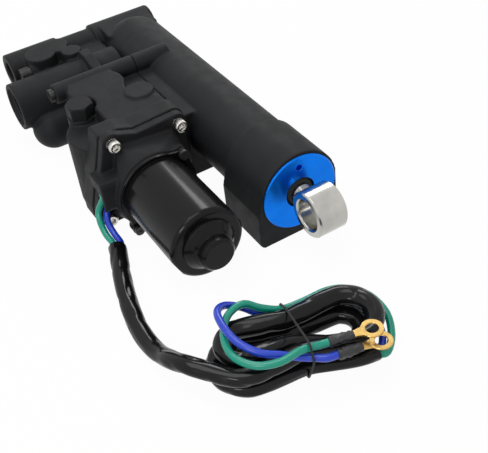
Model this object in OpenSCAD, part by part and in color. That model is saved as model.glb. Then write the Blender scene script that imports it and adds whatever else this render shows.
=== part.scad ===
// Power trim and tilt unit: a tilt cylinder that carries its pump, motor and leads.
// Millimetres. The origin is the middle of the lower pivot, +X points to the rod eye, +Z up.

/* [Tilt cylinder] */
// Outside diameter of the cylinder tube
tube_d = 62; // [59:1:64]
// Bore of the cylinder
bore_d = 50; // [46:1:51]
// Length from the rear end of the tube to its front face
tube_l = 270; // [264:2:290]
// Diameter of the thick collar at the front
collar_d = 67; // [66:1:69]
// Length of the collar
collar_l = 52; // [44:1:60]
// Height of the cylinder axis over the surface that the unit rests on
axis_h = 39; // [39:1:42]

/* [End screw and rod] */
// Diameter of the end screw's flange
cap_d = 63; // [61:1:64]
// How far that flange stands out of the collar
cap_lip = 1.6; // [1:0.2:3]
// Diameter of the end screw's threaded body
cap_body_d = 58; // [56:1:59]
// Depth of the threaded body in the collar
cap_body_l = 28; // [24:1:32]
// Diameter of the circle that the pin spanner holes lie on
spanner_circle_d = 45; // [42:1:48]
// Diameter of a pin spanner hole
spanner_hole_d = 5; // [4:0.5:6]
// Diameter of the tilt rod
rod_d = 16; // [14:1:18]
// Distance from the front face to the middle of the rod eye
eye_reach = 26.5; // [26:0.5:32]
// Outside diameter of the rod eye
eye_d = 36; // [34:1:38]
// Bore of the rod eye
eye_bore_d = 24; // [20:1:25]
// Width of the rod eye
eye_w = 24; // [20:1:28]

/* [Lower pivot] */
// Outside diameter of the lower pivot
pivot_d = 33; // [32:1:35]
// Bore of the lower pivot
pivot_bore_d = 19; // [16:1:20]
// Width over both ears of the lower pivot
pivot_w = 145; // [140:1:150]
// Distance from the rear end of the tube back to the pivot axis
pivot_setback = 27; // [25:1:29]
// Height of the pivot axis over the cylinder axis
pivot_rise = 8; // [6:1:10]
// Sideways distance from the cylinder axis to the middle of the pivot
pivot_shift = 44.5; // [43:0.5:46]
// Outside diameter of the side boss
side_boss_d = 42; // [38:1:43]
// Bore of the side boss
side_bore_d = 27; // [22:1:29]

/* [Motor] */
// Outside diameter of the motor can
can_d = 59; // [57:1:60]
// Length of the can from its flange to its front face
can_l = 80; // [70:1:82]
// Sideways distance from the cylinder axis to the motor axis
motor_shift = 79; // [78:0.5:82]
// Drop from the cylinder axis to the motor axis
motor_drop = 9; // [7:0.5:9]
// Distance from the front face of the cylinder back to the can's flange
can_back = 77; // [75:1:79]
// Diameter of the front bearing boss of the can
nose_d = 27; // [25:1:29]

/* [Pump] */
// Diameter of the gallery tube on the pump
gallery_d = 17; // [15:1:18]
// Height of the pump's flat top over the cylinder axis
pump_top = 34; // [32:1:35]
// Width across the flats of the fill plug
fill_af = 20; // [18:1:21]
// Size of the gear teeth
gear_module = 1.15; // [1.1:0.05:1.2]
// Number of teeth of each pump gear
gear_teeth = 12; // [12:4:12]

/* [Leads] */
// Diameter of a lead
lead_d = 5.2; // [4.8:0.1:5.4]
// Diameter of the protective sleeve
sleeve_d = 13; // [12:0.1:13]
// Bore of the ring terminals
terminal_bore_d = 8.4; // [7:0.2:8.8]
// Outside diameter of the ring terminals
terminal_d = 15; // [14:0.5:16]

/* [Hidden] */
$fn = 64;

casting_black = [0.2, 0.205, 0.215];
gloss_black = [0.07, 0.075, 0.08];
rubber_black = [0.1, 0.1, 0.1];
anodised_blue = [0.0, 0.42, 0.86];
stainless = [0.78, 0.77, 0.74];
tool_steel = [0.5, 0.5, 0.52];
copper = [0.72, 0.42, 0.25];
brass_yellow = [0.85, 0.66, 0.28];
green_pvc = [0.0, 0.58, 0.48];
blue_pvc = [0.1, 0.28, 0.8];

// Overrun of every cut
over = 1;
// Running clearance on a radius, and the gap of a seated piece
run = 0.05;
seat = 0.3;

tube_r = tube_d / 2;
bore_r = bore_d / 2;
rod_r = rod_d / 2;
floor_z = -axis_h;
face_x = tube_l + pivot_setback;
rear_x = -tube_l;
// The pump's, the motor's and the leads' places are measured from a plane this far ahead of the tube's rear
pump_datum = 270;
pump_shift_x = pump_datum - tube_l;
pivot_x = -face_x;
pivot_y = -pivot_shift;
pivot_r = pivot_d / 2;
motor_y = -motor_shift;
motor_z = -motor_drop;
can_r = can_d / 2;

// Helpers: places, bars along an axis and extrusions along an axis

// Moves a shape from the centre of the cylinder's front face to the part's frame
module at_face() translate([face_x, pivot_shift, -pivot_rise]) children();
module with_pump() translate([pump_shift_x, 0, 0]) children();
module at_pump() at_face() with_pump() children();
// Moves a shape to the motor axis
module at_motor() translate([0, motor_y, motor_z]) children();
module bar_x(r, x0, x1, y = 0, z = 0)
    translate([x0, y, z]) rotate([0, 90, 0]) cylinder(h = x1 - x0, r = r);
module bar_y(r, y0, y1, x = 0, z = 0)
    translate([x, y1, z]) rotate([90, 0, 0]) cylinder(h = y1 - y0, r = r);
module bar_z(r, z0, z1, x = 0, y = 0)
    translate([x, y, z0]) cylinder(h = z1 - z0, r = r);
module cone_x(r0, r1, x0, x1)
    translate([x0, 0, 0]) rotate([0, 90, 0]) cylinder(h = x1 - x0, r1 = r0, r2 = r1);
module cone_y(r0, r1, y0, y1, x = 0, z = 0)
    translate([x, y0, z]) rotate([-90, 0, 0]) cylinder(h = y1 - y0, r1 = r0, r2 = r1);
// An outline drawn in Y and Z, drawn out along X
module along_x(x0, x1) translate([x0, 0, 0]) rotate([90, 0, 90]) linear_extrude(x1 - x0) children();
// An outline drawn in X and Z, drawn out along Y
module along_y(y0, y1) translate([0, y1, 0]) rotate([90, 0, 0]) linear_extrude(y1 - y0) children();
module along_z(z0, z1) translate([0, 0, z0]) linear_extrude(z1 - z0) children();
// A profile of radius and height, turned about the X axis
module turned_x() rotate([0, 90, 0]) rotate_extrude() children();
module tube_x(ro, ri, x0, x1) difference() {
    bar_x(ro, x0, x1);
    bar_x(ri, x0 - over, x1 + over);
}
module o_ring_x(r, cord_r, x) translate([x, 0, 0]) turned_x() translate([r, 0]) circle(cord_r);
module hex_2d(af) circle(r = af / sqrt(3), $fn = 6);
// A socket head screw along X, its head to the front of x
module socket_screw_x(r, head_r, head_l, l, x) difference() {
    union() {
        bar_x(r, x - l, x);
        bar_x(head_r, x, x + head_l);
    }
    translate([x + head_l / 2, 0, 0]) rotate([0, 90, 0])
        linear_extrude(head_l) hex_2d(head_r);
}

// Tilt cylinder sizes, from the centre of its front face

corner_r = 4;
foot_overhang = 3;
foot_shoulder_z = 8;
foot_shoulder_angle = 8;
rear_wall = 8;
thread_r = cap_body_d / 2;
pivot_z = pivot_rise;
ear_left_w = 50;
ear_neck_w = 34;
neck_r = 14;
ear_low_w = 52;
web_half_w = 24;
web_drop = 2;
dome_l = 20;
dome_steps = 8;
block_left = 55.5;
side_boss_setback = 48;
side_boss_x = pivot_x + side_boss_setback;
side_boss_z = 1;
side_boss_l = 131;
side_bore_l = 46;
side_rim_d = 34;
side_rim_l = 3;
// The valve tower's lobes: distance in front of the pivot, sideways place, radius
tower_top = 26;
tower_lobes = [[18, -90, 14], [12, -72, 11], [31, -65, 9]];
manual_ahead = 23;
manual_x = pivot_x + manual_ahead;
manual_z = 14;
manual_r = 6;
manual_l = 22;
manual_travel = 3;
manual_mouth_y = -104;
lobe_ahead = 66;
lobe_x = pivot_x + lobe_ahead;
lobe_z = -21;
lobe_r = 18;
lobe_y = -108;
joint_y = -33;
pad_rear = 200;
pad_front = 112;
pad_top = 22;
pad_depth = 21;
gallery_x = -203;
gallery_z = 27;
gallery_r = gallery_d / 2;
gallery_bore_r = 2.5;
gallery_left = -107;
rib_left = -62;
rib_t = 9;
rib_drop = 6;
rib_rear = 12;
rib_front = -207.5;
bolt_r = 3;
bolt_head_r = 5;
bolt_head_l = 6;
bolt_l = 28;
bolt_lug_r = 9;
// Pump bolts: place along the cylinder and height
bolt_places = [[-190, -31], [-162, -31], [-134, -31]];
pump_lug = 10;

// Outline of the front collar: a round top on a square foot
module collar_outline() {
    r = collar_d / 2;
    left = -r - foot_overhang;
    circle(r);
    polygon([[0, 0], [-r * cos(foot_shoulder_angle), r * sin(foot_shoulder_angle)], [left, -foot_shoulder_z],
        [left, floor_z + corner_r], [left + corner_r, floor_z], [r - corner_r, floor_z],
        [r, floor_z + corner_r], [r, 0]]);
    for (y = [left + corner_r, r - corner_r])
        translate([y, floor_z + corner_r]) circle(corner_r);
}

module pivot_tube() {
    left = pivot_y - pivot_w / 2;
    right = pivot_y + pivot_w / 2;
    bar_y(pivot_r, left, left + ear_left_w, pivot_x, pivot_z);
    bar_y(neck_r, left + ear_left_w - over, left + ear_left_w + ear_neck_w + over, pivot_x, pivot_z);
    bar_y(pivot_r, left + ear_left_w + ear_neck_w, right, pivot_x, pivot_z);
    // Web that carries the right ear on the tube's rear end
    along_y(-ear_low_w / 2, web_half_w)
        polygon([[pivot_x, pivot_z + pivot_r], [rear_x, pivot_z + pivot_r - web_drop],
            [rear_x, -pivot_r], [pivot_x, pivot_z - pivot_r]]);
    // Rounded rear end of the tube
    turned_x() polygon([[0, rear_x + over], for (i = [0:dome_steps]) let(a = i * 90 / dome_steps)
        [pivot_r + (tube_r - pivot_r) * cos(a), rear_x + over - dome_l * sin(a)],
        [0, rear_x + over - dome_l]]);
}

module valve_block() {
    left = pivot_y - block_left;
    along_y(left, -tube_r + over)
        polygon([[pivot_x, pivot_z + neck_r / 2], [side_boss_x, pivot_z + neck_r / 2],
            [side_boss_x, side_boss_z - neck_r], [pivot_x, pivot_z - neck_r]]);
    for (lobe = tower_lobes)
        bar_z(lobe[2], 0, tower_top, pivot_x + lobe[0], lobe[1]);
    along_z(0, tower_top) polygon([for (lobe = tower_lobes) [pivot_x + lobe[0], lobe[1]]]);
    bar_y(manual_r + corner_r / 2, manual_mouth_y, tower_lobes[0][1], manual_x, manual_z);
    bar_y(side_boss_d / 2, -side_boss_l, -tube_r + over, side_boss_x, side_boss_z);
    // Rounded lower housing under the side boss
    bar_y(lobe_r, lobe_y, joint_y, lobe_x, lobe_z);
    translate([lobe_x, lobe_y, lobe_z]) sphere(lobe_r);
    // Sloping rib between the side boss and the gallery
    along_y(rib_left, rib_left + rib_t)
        polygon([[side_boss_x - rib_rear, side_boss_z], [side_boss_x - rib_drop, pump_top - rib_drop],
            [side_boss_x + rib_drop, pump_top - rib_drop],
            [pump_shift_x + rib_front, gallery_z - gallery_r - seat], [pump_shift_x + rib_front, 0]]);
}

module pump_pad() {
    translate([-pad_rear, joint_y, floor_z]) cube([pad_rear - pad_front, pad_depth, pad_top - floor_z]);
    for (place = bolt_places)
        bar_y(bolt_lug_r, joint_y, joint_y + pad_depth, place[0], max(place[1], floor_z + bolt_lug_r));
    bar_y(gallery_r, joint_y, 0, gallery_x, gallery_z);
}

module cylinder_body() color(casting_black) at_face() difference() {
    union() {
        bar_x(tube_r, rear_x, 0);
        along_x(-collar_l, 0) collar_outline();
        pivot_tube();
        valve_block();
        with_pump() pump_pad();
    }
    bar_x(bore_r, rear_x + rear_wall, over);
    bar_x(thread_r, -cap_body_l, over);
    bar_y(pivot_bore_d / 2, pivot_y - pivot_w / 2 - over, pivot_y + pivot_w / 2 + over, pivot_x, pivot_z);
    bar_y(side_bore_d / 2, -side_boss_l - over, -side_boss_l + side_bore_l, side_boss_x, side_boss_z);
    bar_y(side_rim_d / 2, -side_boss_l - over, -side_boss_l + side_rim_l, side_boss_x, side_boss_z);
    bar_y(manual_r + run, manual_mouth_y - over, manual_mouth_y + manual_l, manual_x, manual_z);
    bar_y(manual_r + seat, -side_boss_l - over, manual_mouth_y, manual_x, manual_z);
    with_pump() {
        bar_y(gallery_bore_r, joint_y - over, joint_y + pad_depth, gallery_x, gallery_z);
        for (place = bolt_places)
            bar_y(bolt_r, joint_y - over, joint_y + bolt_l - pump_lug, place[0], place[1]);
    }
}

// End screw: blue cap with two pin spanner holes and a wiper recess

wiper_r = 12.5;
wiper_l = 7;
seal_x = -20;
seal_l = 5;
seal_r = 12;
nose_l = 10;
cap_chamfer = 0.8;
ring_cord_r = 1.4;
spanner_depth = 6;
cap_rear = -cap_body_l - nose_l;

module end_screw() color(anodised_blue) at_face() difference() {
    union() {
        bar_x(thread_r - run, -cap_body_l + seat, cap_lip / 2);
        bar_x(cap_d / 2, 0, cap_lip - cap_chamfer);
        cone_x(cap_d / 2, cap_d / 2 - cap_chamfer, cap_lip - cap_chamfer, cap_lip);
        bar_x(bore_r - run, cap_rear, -cap_body_l + over);
    }
    bar_x(rod_r + run, cap_rear - over, cap_lip + over);
    bar_x(wiper_r, cap_lip - wiper_l, cap_lip + over);
    bar_x(seal_r, seal_x, seal_x + seal_l);
    translate([-cap_body_l - nose_l / 2, 0, 0]) tube_x(bore_r + over, bore_r - 2 * ring_cord_r,
        -ring_cord_r, ring_cord_r);
    for (side = [-1, 1])
        bar_x(spanner_hole_d / 2, cap_lip - spanner_depth, cap_lip + over,
            0, side * spanner_circle_d / 2);
}

module end_screw_o_ring() color(rubber_black) at_face()
    o_ring_x(bore_r - run - ring_cord_r, ring_cord_r - run, -cap_body_l - nose_l / 2);

module rod_wiper() color(rubber_black) at_face() translate([cap_lip - wiper_l, 0, 0]) difference() {
    union() {
        bar_x(wiper_r - run, 0, wiper_l / 2);
        cone_x(wiper_r - run, rod_r + cap_lip, wiper_l / 2, wiper_l);
    }
    bar_x(rod_r + run, -over, wiper_l + over);
}

module rod_seal() color(rubber_black) at_face()
    tube_x(seal_r - run, rod_r + run, seal_x + run, seal_x + seal_l - run);

// Rod, eye and piston

neck_r_rod = 6.5;
neck_start = 4;
neck_l = 3;
piston_ahead = 60;
piston_front = rear_x + piston_ahead;
piston_l = 22;
piston_stub_r = 6;
nut_l = 8;
nut_af = 19;
piston_run = 0.08;
ring_w = 4;
ring_depth = 3;
ball_r = 2;
ball_circle_r = 16;
ball_count = 4;
eye_chamfer = 1.2;
shank_front = 9;
piston_rear = piston_front - piston_l;

module tilt_rod() color(tool_steel) at_face() {
    bar_x(rod_r, piston_front, neck_start);
    cone_x(rod_r, neck_r_rod, neck_start, neck_start + neck_l);
    bar_x(piston_stub_r, piston_rear - nut_l, piston_front);
}

module rod_eye() color(stainless) at_face() difference() {
    union() {
        bar_y(eye_d / 2, -eye_w / 2 + eye_chamfer, eye_w / 2 - eye_chamfer, eye_reach);
        for (side = [-1, 1])
            cone_y(eye_d / 2 - (side > 0 ? 0 : eye_chamfer), eye_d / 2 - (side > 0 ? eye_chamfer : 0),
                side > 0 ? eye_w / 2 - eye_chamfer : -eye_w / 2,
                side > 0 ? eye_w / 2 : -eye_w / 2 + eye_chamfer, eye_reach);
        cone_x(neck_r_rod, shank_front, neck_start + neck_l, eye_reach - eye_d / 2 + neck_l);
    }
    bar_y(eye_bore_d / 2, -eye_w / 2 - over, eye_w / 2 + over, eye_reach);
    for (side = [-1, 1])
        cone_y(eye_bore_d / 2 + (side > 0 ? 0 : eye_chamfer), eye_bore_d / 2 + (side > 0 ? eye_chamfer : 0),
            side > 0 ? eye_w / 2 - eye_chamfer : -eye_w / 2,
            side > 0 ? eye_w / 2 : -eye_w / 2 + eye_chamfer, eye_reach);
}

module piston() color(tool_steel) at_face() difference() {
    bar_x(bore_r - piston_run, piston_rear, piston_front);
    bar_x(piston_stub_r, piston_rear - over, piston_front + over);
    translate([piston_rear + piston_l / 2, 0, 0])
        tube_x(bore_r + over, bore_r - ring_depth, -ring_w / 2, ring_w / 2);
    for (i = [0:ball_count - 1]) rotate([i * 360 / ball_count, 0, 0])
        bar_x(ball_r + run, piston_front - 2 * ball_r, piston_front + over, ball_circle_r);
}

module piston_ring() color(rubber_black) at_face() translate([piston_rear + piston_l / 2, 0, 0])
    tube_x(bore_r - run, bore_r - ring_depth + run, -ring_w / 2 + run, ring_w / 2 - run);

module piston_nut() color(tool_steel) at_face() difference() {
    translate([piston_rear - nut_l, 0, 0]) rotate([0, 90, 0]) linear_extrude(nut_l) hex_2d(nut_af);
    bar_x(piston_stub_r, piston_rear - nut_l - over, piston_rear + over);
}

module shock_valve_balls() color(stainless) at_face()
    for (i = [0:ball_count - 1]) rotate([i * 360 / ball_count, 0, 0])
        translate([piston_front - ball_r, ball_circle_r, 0]) sphere(ball_r);

free_l = 17;
free_gap = 1.5;
free_front = piston_rear - nut_l - free_gap;
free_cup_r = 17;
free_cup_l = 8;

module free_piston() color(tool_steel) at_face() difference() {
    bar_x(bore_r - piston_run, free_front - free_l, free_front);
    bar_x(free_cup_r, free_front - free_cup_l, free_front + over);
    translate([free_front - free_l / 2, 0, 0])
        tube_x(bore_r + over, bore_r - 2 * ring_cord_r, -ring_cord_r, ring_cord_r);
}

module free_piston_o_ring() color(rubber_black) at_face()
    o_ring_x(bore_r - run - ring_cord_r, ring_cord_r - run, free_front - free_l / 2);

// Pump casting, from the centre of the cylinder's front face

flange_rear = -123;
flange_joint = -106;
pump_rear = -205;
pump_left = -122;
cavity_r = 27;
cavity_rear = -165;
plateau_left = -91;
plateau_right = -41;
plateau_base = 12;
big_lobe = [-183, -76, 24];
small_disc = [-150, -52, 12];
small_disc_rise = 2;
fill_x = -162;
fill_y = -100;
fill_boss_r = 11.5;
fill_seat_z = 26;
fill_head_l = 11;
fill_shank_r = 7;
fill_shank_l = 16;
fill_groove = 2;
fill_recess_r = fill_af / sqrt(3) + fill_groove;
belly = [-138, -92, 30];
under_y = -56;
under_z = -22;
// Motor flange screws: sideways place, height, ear radius
screw_places = [[-101, 33.5, 9], [-45.5, 28, 9], [-117, -30, 9], [-52, -30, 9]];
flange_top_mid = [-80, 35];
valve_behind = 13;
valve_x = cavity_rear - valve_behind;
valve_ys = [-95, -76, -57];
spool_r = 6;
check_r = 4;
rear_r = 34;
valve_plug_rs = [6, 8, 6];
valve_top = 20;
valve_boss_r = 10;
valve_boss_top = -8;
valve_foot = 3;
valve_mouth = floor_z + valve_foot;
plug_l = 8;
gallery_plug_r = 5.5;
gallery_plug_l = 10;
gallery_plug_out = 4;
plug_socket_af = 5;

module flange_outline(grow = 0) {
    for (p = screw_places) translate([p[0], p[1]]) circle(p[2] + grow);
    s1 = screw_places[0];
    s2 = screw_places[1];
    s3 = screw_places[2];
    s4 = screw_places[3];
    polygon([[s1[0] - s1[2], s1[1]], [s1[0], s1[1] + s1[2]], flange_top_mid, [s2[0], s2[1] + s2[2]],
        [s2[0] + s2[2], s2[1]], [s4[0] + s4[2], s4[1]], [s4[0], s4[1] - s4[2]],
        [s3[0], s3[1] - s3[2]], [s3[0] - s3[2], s3[1]], [s3[0] - s3[2], s3[1] + s3[2]]]);
}

// Plan of the pump casting under its flat top
module pump_plan() offset(r = corner_r, $fn = 32) offset(delta = -corner_r) {
    polygon([[flange_joint - over, joint_y], [pump_rear, joint_y], [pump_rear, big_lobe[1]],
        [fill_x - fill_boss_r, fill_y], [belly[0], belly[1]], [flange_joint - over, pump_left + corner_r]]);
    translate([big_lobe[0], big_lobe[1]]) circle(big_lobe[2]);
    translate([belly[0], belly[1]]) circle(belly[2]);
    translate([fill_x, fill_y]) circle(fill_boss_r);
}

// Side view of the pump casting, rounded up at its rear
module pump_side() {
    translate([pump_rear + rear_r, floor_z + rear_r]) circle(rear_r);
    polygon([[pump_rear - corner_r, pad_top], [pump_rear - corner_r / 2, 0], [pump_rear, floor_z + rear_r],
        [pump_rear + rear_r, floor_z], [flange_joint, floor_z], [flange_joint, pad_top]]);
}

module pump_top_form() {
    translate([0, 0, plateau_base]) linear_extrude(pump_top - plateau_base)
        offset(r = corner_r, $fn = 32) offset(delta = -corner_r) {
        translate([big_lobe[0], big_lobe[1]]) circle(big_lobe[2]);
        polygon([[big_lobe[0], plateau_left], [flange_joint - over, plateau_left],
            [flange_joint - over, plateau_right], [small_disc[0] + small_disc[2], plateau_right],
            [small_disc[0] - small_disc[2], small_disc[1] - small_disc[2] / 2],
            [big_lobe[0], big_lobe[1] + big_lobe[2]]]);
    }
    bar_z(small_disc[2], 0, pump_top + small_disc_rise, small_disc[0], small_disc[1]);
    bar_z(fill_boss_r, -fill_head_l, fill_seat_z, fill_x, fill_y);
}

module pump_body() color(casting_black) at_pump() difference() {
    union() {
        intersection() {
            translate([0, 0, floor_z]) linear_extrude(pad_top - floor_z) pump_plan();
            along_y(pump_left - belly[2], joint_y) pump_side();
            along_x(pump_rear - belly[2], flange_joint)
                polygon([[pump_left - belly[2], floor_z], [under_y, floor_z], [under_y + corner_r, under_z],
                    [joint_y, under_z], [joint_y, pad_top], [pump_left - belly[2], pad_top]]);
        }
        pump_top_form();
        intersection() {
            along_x(flange_rear, flange_joint) flange_outline();
            translate([flange_rear - over, pump_left - belly[2], floor_z])
                cube([flange_joint - flange_rear + 2 * over, belly[2] - pump_left + joint_y, 2 * axis_h]);
        }
        translate([-pad_rear, joint_y - pump_lug, floor_z])
            cube([pad_rear - pad_front, pump_lug, pad_top - floor_z]);
        for (place = bolt_places)
            bar_y(bolt_lug_r, joint_y - pump_lug, joint_y, place[0], max(place[1], floor_z + bolt_lug_r));
        bar_y(gallery_r, gallery_left, joint_y, gallery_x, gallery_z);
        for (y = valve_ys) bar_z(valve_boss_r, valve_mouth, valve_boss_top, valve_x, y);
    }
    at_motor() bar_x(cavity_r, cavity_rear, flange_joint + over);
    bar_y(gallery_bore_r, gallery_left - over, joint_y + over, gallery_x, gallery_z);
    bar_y(gallery_plug_r + run, gallery_left - over, gallery_left + gallery_plug_l, gallery_x, gallery_z);
    bar_y(gallery_r - ring_cord_r, joint_y - 2 * ring_cord_r, joint_y + over, gallery_x, gallery_z);
    bar_z(fill_shank_r, fill_seat_z - fill_shank_l - over, fill_seat_z + over, fill_x, fill_y);
    bar_z(fill_recess_r, fill_seat_z, pump_top + over, fill_x, fill_y);
    for (p = screw_places) bar_x(bolt_r, flange_rear + ring_cord_r, flange_joint + over, p[0], p[1]);
    for (place = bolt_places)
        bar_y(bolt_r, joint_y - pump_lug - over, joint_y + over, place[0], place[1]);
    for (i = [0:2]) {
        r = i == 1 ? spool_r : check_r;
        bar_z(r + run, floor_z - over, valve_top, valve_x, valve_ys[i]);
        bar_z(valve_plug_rs[i], floor_z - over, valve_mouth + plug_l, valve_x, valve_ys[i]);
    }
    at_motor() for (a = pump_screw_angles) rotate([a, 0, 0])
        bar_x(pump_screw_r, cavity_rear - pump_screw_l, cavity_rear + over, pump_screw_circle_r);
}

module fill_plug() color(casting_black) at_pump() difference() {
    translate([fill_x, fill_y, fill_seat_z]) union() {
        // A cone takes the corners off the hexagon
        intersection() {
            linear_extrude(fill_head_l) hex_2d(fill_af);
            cylinder(h = fill_head_l, r1 = fill_af / 2 + fill_head_l, r2 = fill_af / 2);
        }
        translate([0, 0, -fill_shank_l]) cylinder(h = fill_shank_l + over, r = fill_shank_r - run);
    }
    translate([fill_x, fill_y, fill_seat_z]) rotate_extrude()
        translate([fill_shank_r - run, -fill_groove]) square([fill_groove, 2 * fill_groove]);
}

module fill_plug_o_ring() color(rubber_black) at_pump()
    translate([fill_x, fill_y, fill_seat_z + fill_groove / 2]) rotate_extrude()
        translate([fill_shank_r + fill_groove / 2, 0]) circle(fill_groove / 2 - run);

// Threaded plug with a hexagon socket, along Y, its mouth at y
module socket_plug_y(r, l, af, y) difference() {
    bar_y(r, y, y + l);
    translate([0, y + l / 2, 0]) rotate([90, 0, 0]) linear_extrude(l) hex_2d(af);
}

module gallery_plug() color(casting_black) at_pump() translate([gallery_x, 0, gallery_z])
    socket_plug_y(gallery_plug_r, gallery_plug_l + gallery_plug_out - run, plug_socket_af,
        gallery_left - gallery_plug_out);

module transfer_o_ring() color(rubber_black) at_pump()
    translate([gallery_x, joint_y - ring_cord_r, gallery_z]) rotate([90, 0, 0]) rotate_extrude()
        translate([gallery_r - 2 * ring_cord_r - run, 0]) circle(ring_cord_r - run);

module pump_bolts() color(tool_steel) at_pump() for (place = bolt_places)
    translate([place[0], joint_y - pump_lug, place[1]]) rotate([0, 0, -90])
        socket_screw_x(bolt_r - run, bolt_head_r, bolt_head_l, bolt_l - run, 0);

// Gear pump in the reservoir

gear_pump_r = 23;
gear_pump_l = 14;
gear_w = 10;
cover_l = 6;
gear_shaft_r = 3;
gear_clear = 0.12;
pitch_r = gear_module * gear_teeth / 2;
tip_share = 0.9;
root_share = 1.2;
gear_tip_r = pitch_r + gear_module * tip_share;
gear_root_r = pitch_r - gear_module * root_share;
tooth_root_share = 0.30;
tooth_pitch_share = 0.225;
tooth_tip_share = 0.10;
gear_distance = 2 * pitch_r;
pump_face = cavity_rear + gear_pump_l;
cover_face = pump_face + cover_l;
pump_screw_angles = [60, 180, 300];
pump_screw_r = 2;
pump_screw_l = 8;
pump_screw_circle_r = 18.5;
pump_screw_head_r = 3.5;
pump_screw_head_l = 4;
coupler_r = 8;
coupler_l = 15;
coupler_grip = 7;
intake_r = 3;
screen_wall = 0.8;
screen_l = 7;

module gear_outline(turn = 0) {
    step = 360 / gear_teeth;
    circle(gear_root_r);
    for (i = [0:gear_teeth - 1]) rotate(turn + i * step)
        polygon([for (s = [-1, 1]) for (q = s < 0 ? [0, 1, 2] : [2, 1, 0])
            let(r = [gear_root_r - run, pitch_r, gear_tip_r][q],
                a = s * step * [tooth_root_share, tooth_pitch_share, tooth_tip_share][q])
            [r * cos(a), r * sin(a)]]);
}

module gear_pump_body() color(stainless) at_pump() at_motor() difference() {
    bar_x(gear_pump_r, cavity_rear, pump_face);
    for (y = [0, gear_distance]) {
        bar_x(gear_tip_r + gear_clear, pump_face - gear_w - 2 * run, pump_face + over, y);
        bar_x(gear_shaft_r + run, cavity_rear + over / 2, pump_face, y);
    }
    for (a = pump_screw_angles) rotate([a, 0, 0])
        bar_x(pump_screw_r + run, cavity_rear - over, pump_face + over, pump_screw_circle_r);
}

module gear_pump_cover() color(stainless) at_pump() at_motor() difference() {
    bar_x(gear_pump_r, pump_face, cover_face);
    for (y = [0, gear_distance]) bar_x(gear_shaft_r + run, pump_face - over, cover_face + over, y);
    bar_x(intake_r, pump_face - over, cover_face + over, -gear_distance / 2, -gear_distance);
    for (a = pump_screw_angles) rotate([a, 0, 0])
        bar_x(pump_screw_r + run, pump_face - over, cover_face + over, pump_screw_circle_r);
}

module drive_gear() color(tool_steel) at_pump() at_motor() {
    along_x(pump_face - gear_w - run, pump_face - run) gear_outline();
    bar_x(gear_shaft_r, cavity_rear + over, cover_face + seat + coupler_grip);
}

module driven_gear() color(tool_steel) at_pump() at_motor() translate([0, gear_distance, 0]) {
    along_x(pump_face - gear_w - run, pump_face - run) gear_outline(180 / gear_teeth);
    bar_x(gear_shaft_r, cavity_rear + over, cover_face - run);
}

module pump_screws() color(tool_steel) at_pump() at_motor() for (a = pump_screw_angles) rotate([a, 0, 0])
    translate([0, pump_screw_circle_r, 0]) socket_screw_x(pump_screw_r, pump_screw_head_r,
        pump_screw_head_l, gear_pump_l + cover_l + pump_screw_l - over, cover_face);

module filter_screen() color(brass_yellow) at_pump()
    at_motor() translate([cover_face, -gear_distance / 2, -gear_distance]) rotate([0, 90, 0]) difference() {
        cylinder(h = screen_l, r = intake_r + 2 * screen_wall);
        translate([0, 0, -over]) cylinder(h = screen_l + over - screen_wall, r = intake_r + screen_wall);
    }

module shaft_coupler() color(tool_steel) at_pump() at_motor() difference() {
    bar_x(coupler_r, cover_face + seat, cover_face + seat + coupler_l);
    bar_x(gear_shaft_r, cover_face, cover_face + seat + coupler_grip);
    bar_x(motor_shaft_r, cover_face + seat + coupler_grip, cover_face + seat + coupler_l + over);
}

// Shuttle spool, check valves and their plugs

spool_low = -14;
spool_high = 14;
spool_waist_r = 4;
spool_land_l = 7;
check_low = -8;
check_l = 14;
check_cone_l = 3;

module shuttle_spool() color(tool_steel) at_pump() translate([valve_x, valve_ys[1], 0]) {
    cylinder(h = spool_high - spool_low - 2 * spool_land_l, r = spool_waist_r);
    translate([0, 0, spool_low]) {
        cylinder(h = spool_land_l, r = spool_r);
        cylinder(h = spool_high - spool_low, r = spool_waist_r);
        translate([0, 0, spool_high - spool_low - spool_land_l]) cylinder(h = spool_land_l, r = spool_r);
    }
}

module spool_plug() color(tool_steel) at_pump()
    bar_z(valve_plug_rs[1] - run, valve_mouth, valve_mouth + plug_l - run, valve_x, valve_ys[1]);

module check_valve(y) translate([valve_x, y, check_low]) {
    cylinder(h = check_l - check_cone_l, r = check_r);
    translate([0, 0, check_l - check_cone_l]) cylinder(h = check_cone_l, r1 = check_r, r2 = check_r / 2);
}

module up_check_valve() color(stainless) at_pump() check_valve(valve_ys[0]);
module down_check_valve() color(stainless) at_pump() check_valve(valve_ys[2]);

module check_plugs() color(tool_steel) at_pump() for (i = [0, 2])
    bar_z(valve_plug_rs[i] - run, valve_mouth, valve_mouth + plug_l - run, valve_x, valve_ys[i]);

// Manual release valve: a socket screw in the valve block

manual_out = 9;
manual_ring_y = -90;

module manual_valve() color(casting_black) at_face() translate([manual_x, 0, manual_z]) difference() {
    union() {
        bar_y(manual_r, manual_mouth_y - manual_out, manual_ring_y - ring_cord_r);
        bar_y(manual_r - 2 * ring_cord_r, manual_ring_y - ring_cord_r - over,
            manual_ring_y + ring_cord_r + over);
        cone_y(manual_r, manual_r / 2, manual_ring_y + ring_cord_r,
            manual_mouth_y + manual_l - manual_travel);
    }
    translate([0, manual_mouth_y - manual_out / 2, 0]) rotate([90, 0, 0])
        linear_extrude(manual_out) hex_2d(plug_socket_af);
}

module manual_valve_o_ring() color(rubber_black) at_face()
    translate([manual_x, manual_ring_y, manual_z]) rotate([90, 0, 0]) rotate_extrude()
        translate([manual_r - ring_cord_r, 0]) circle(ring_cord_r - run);

// Motor, from the centre of the cylinder's front face

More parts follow.
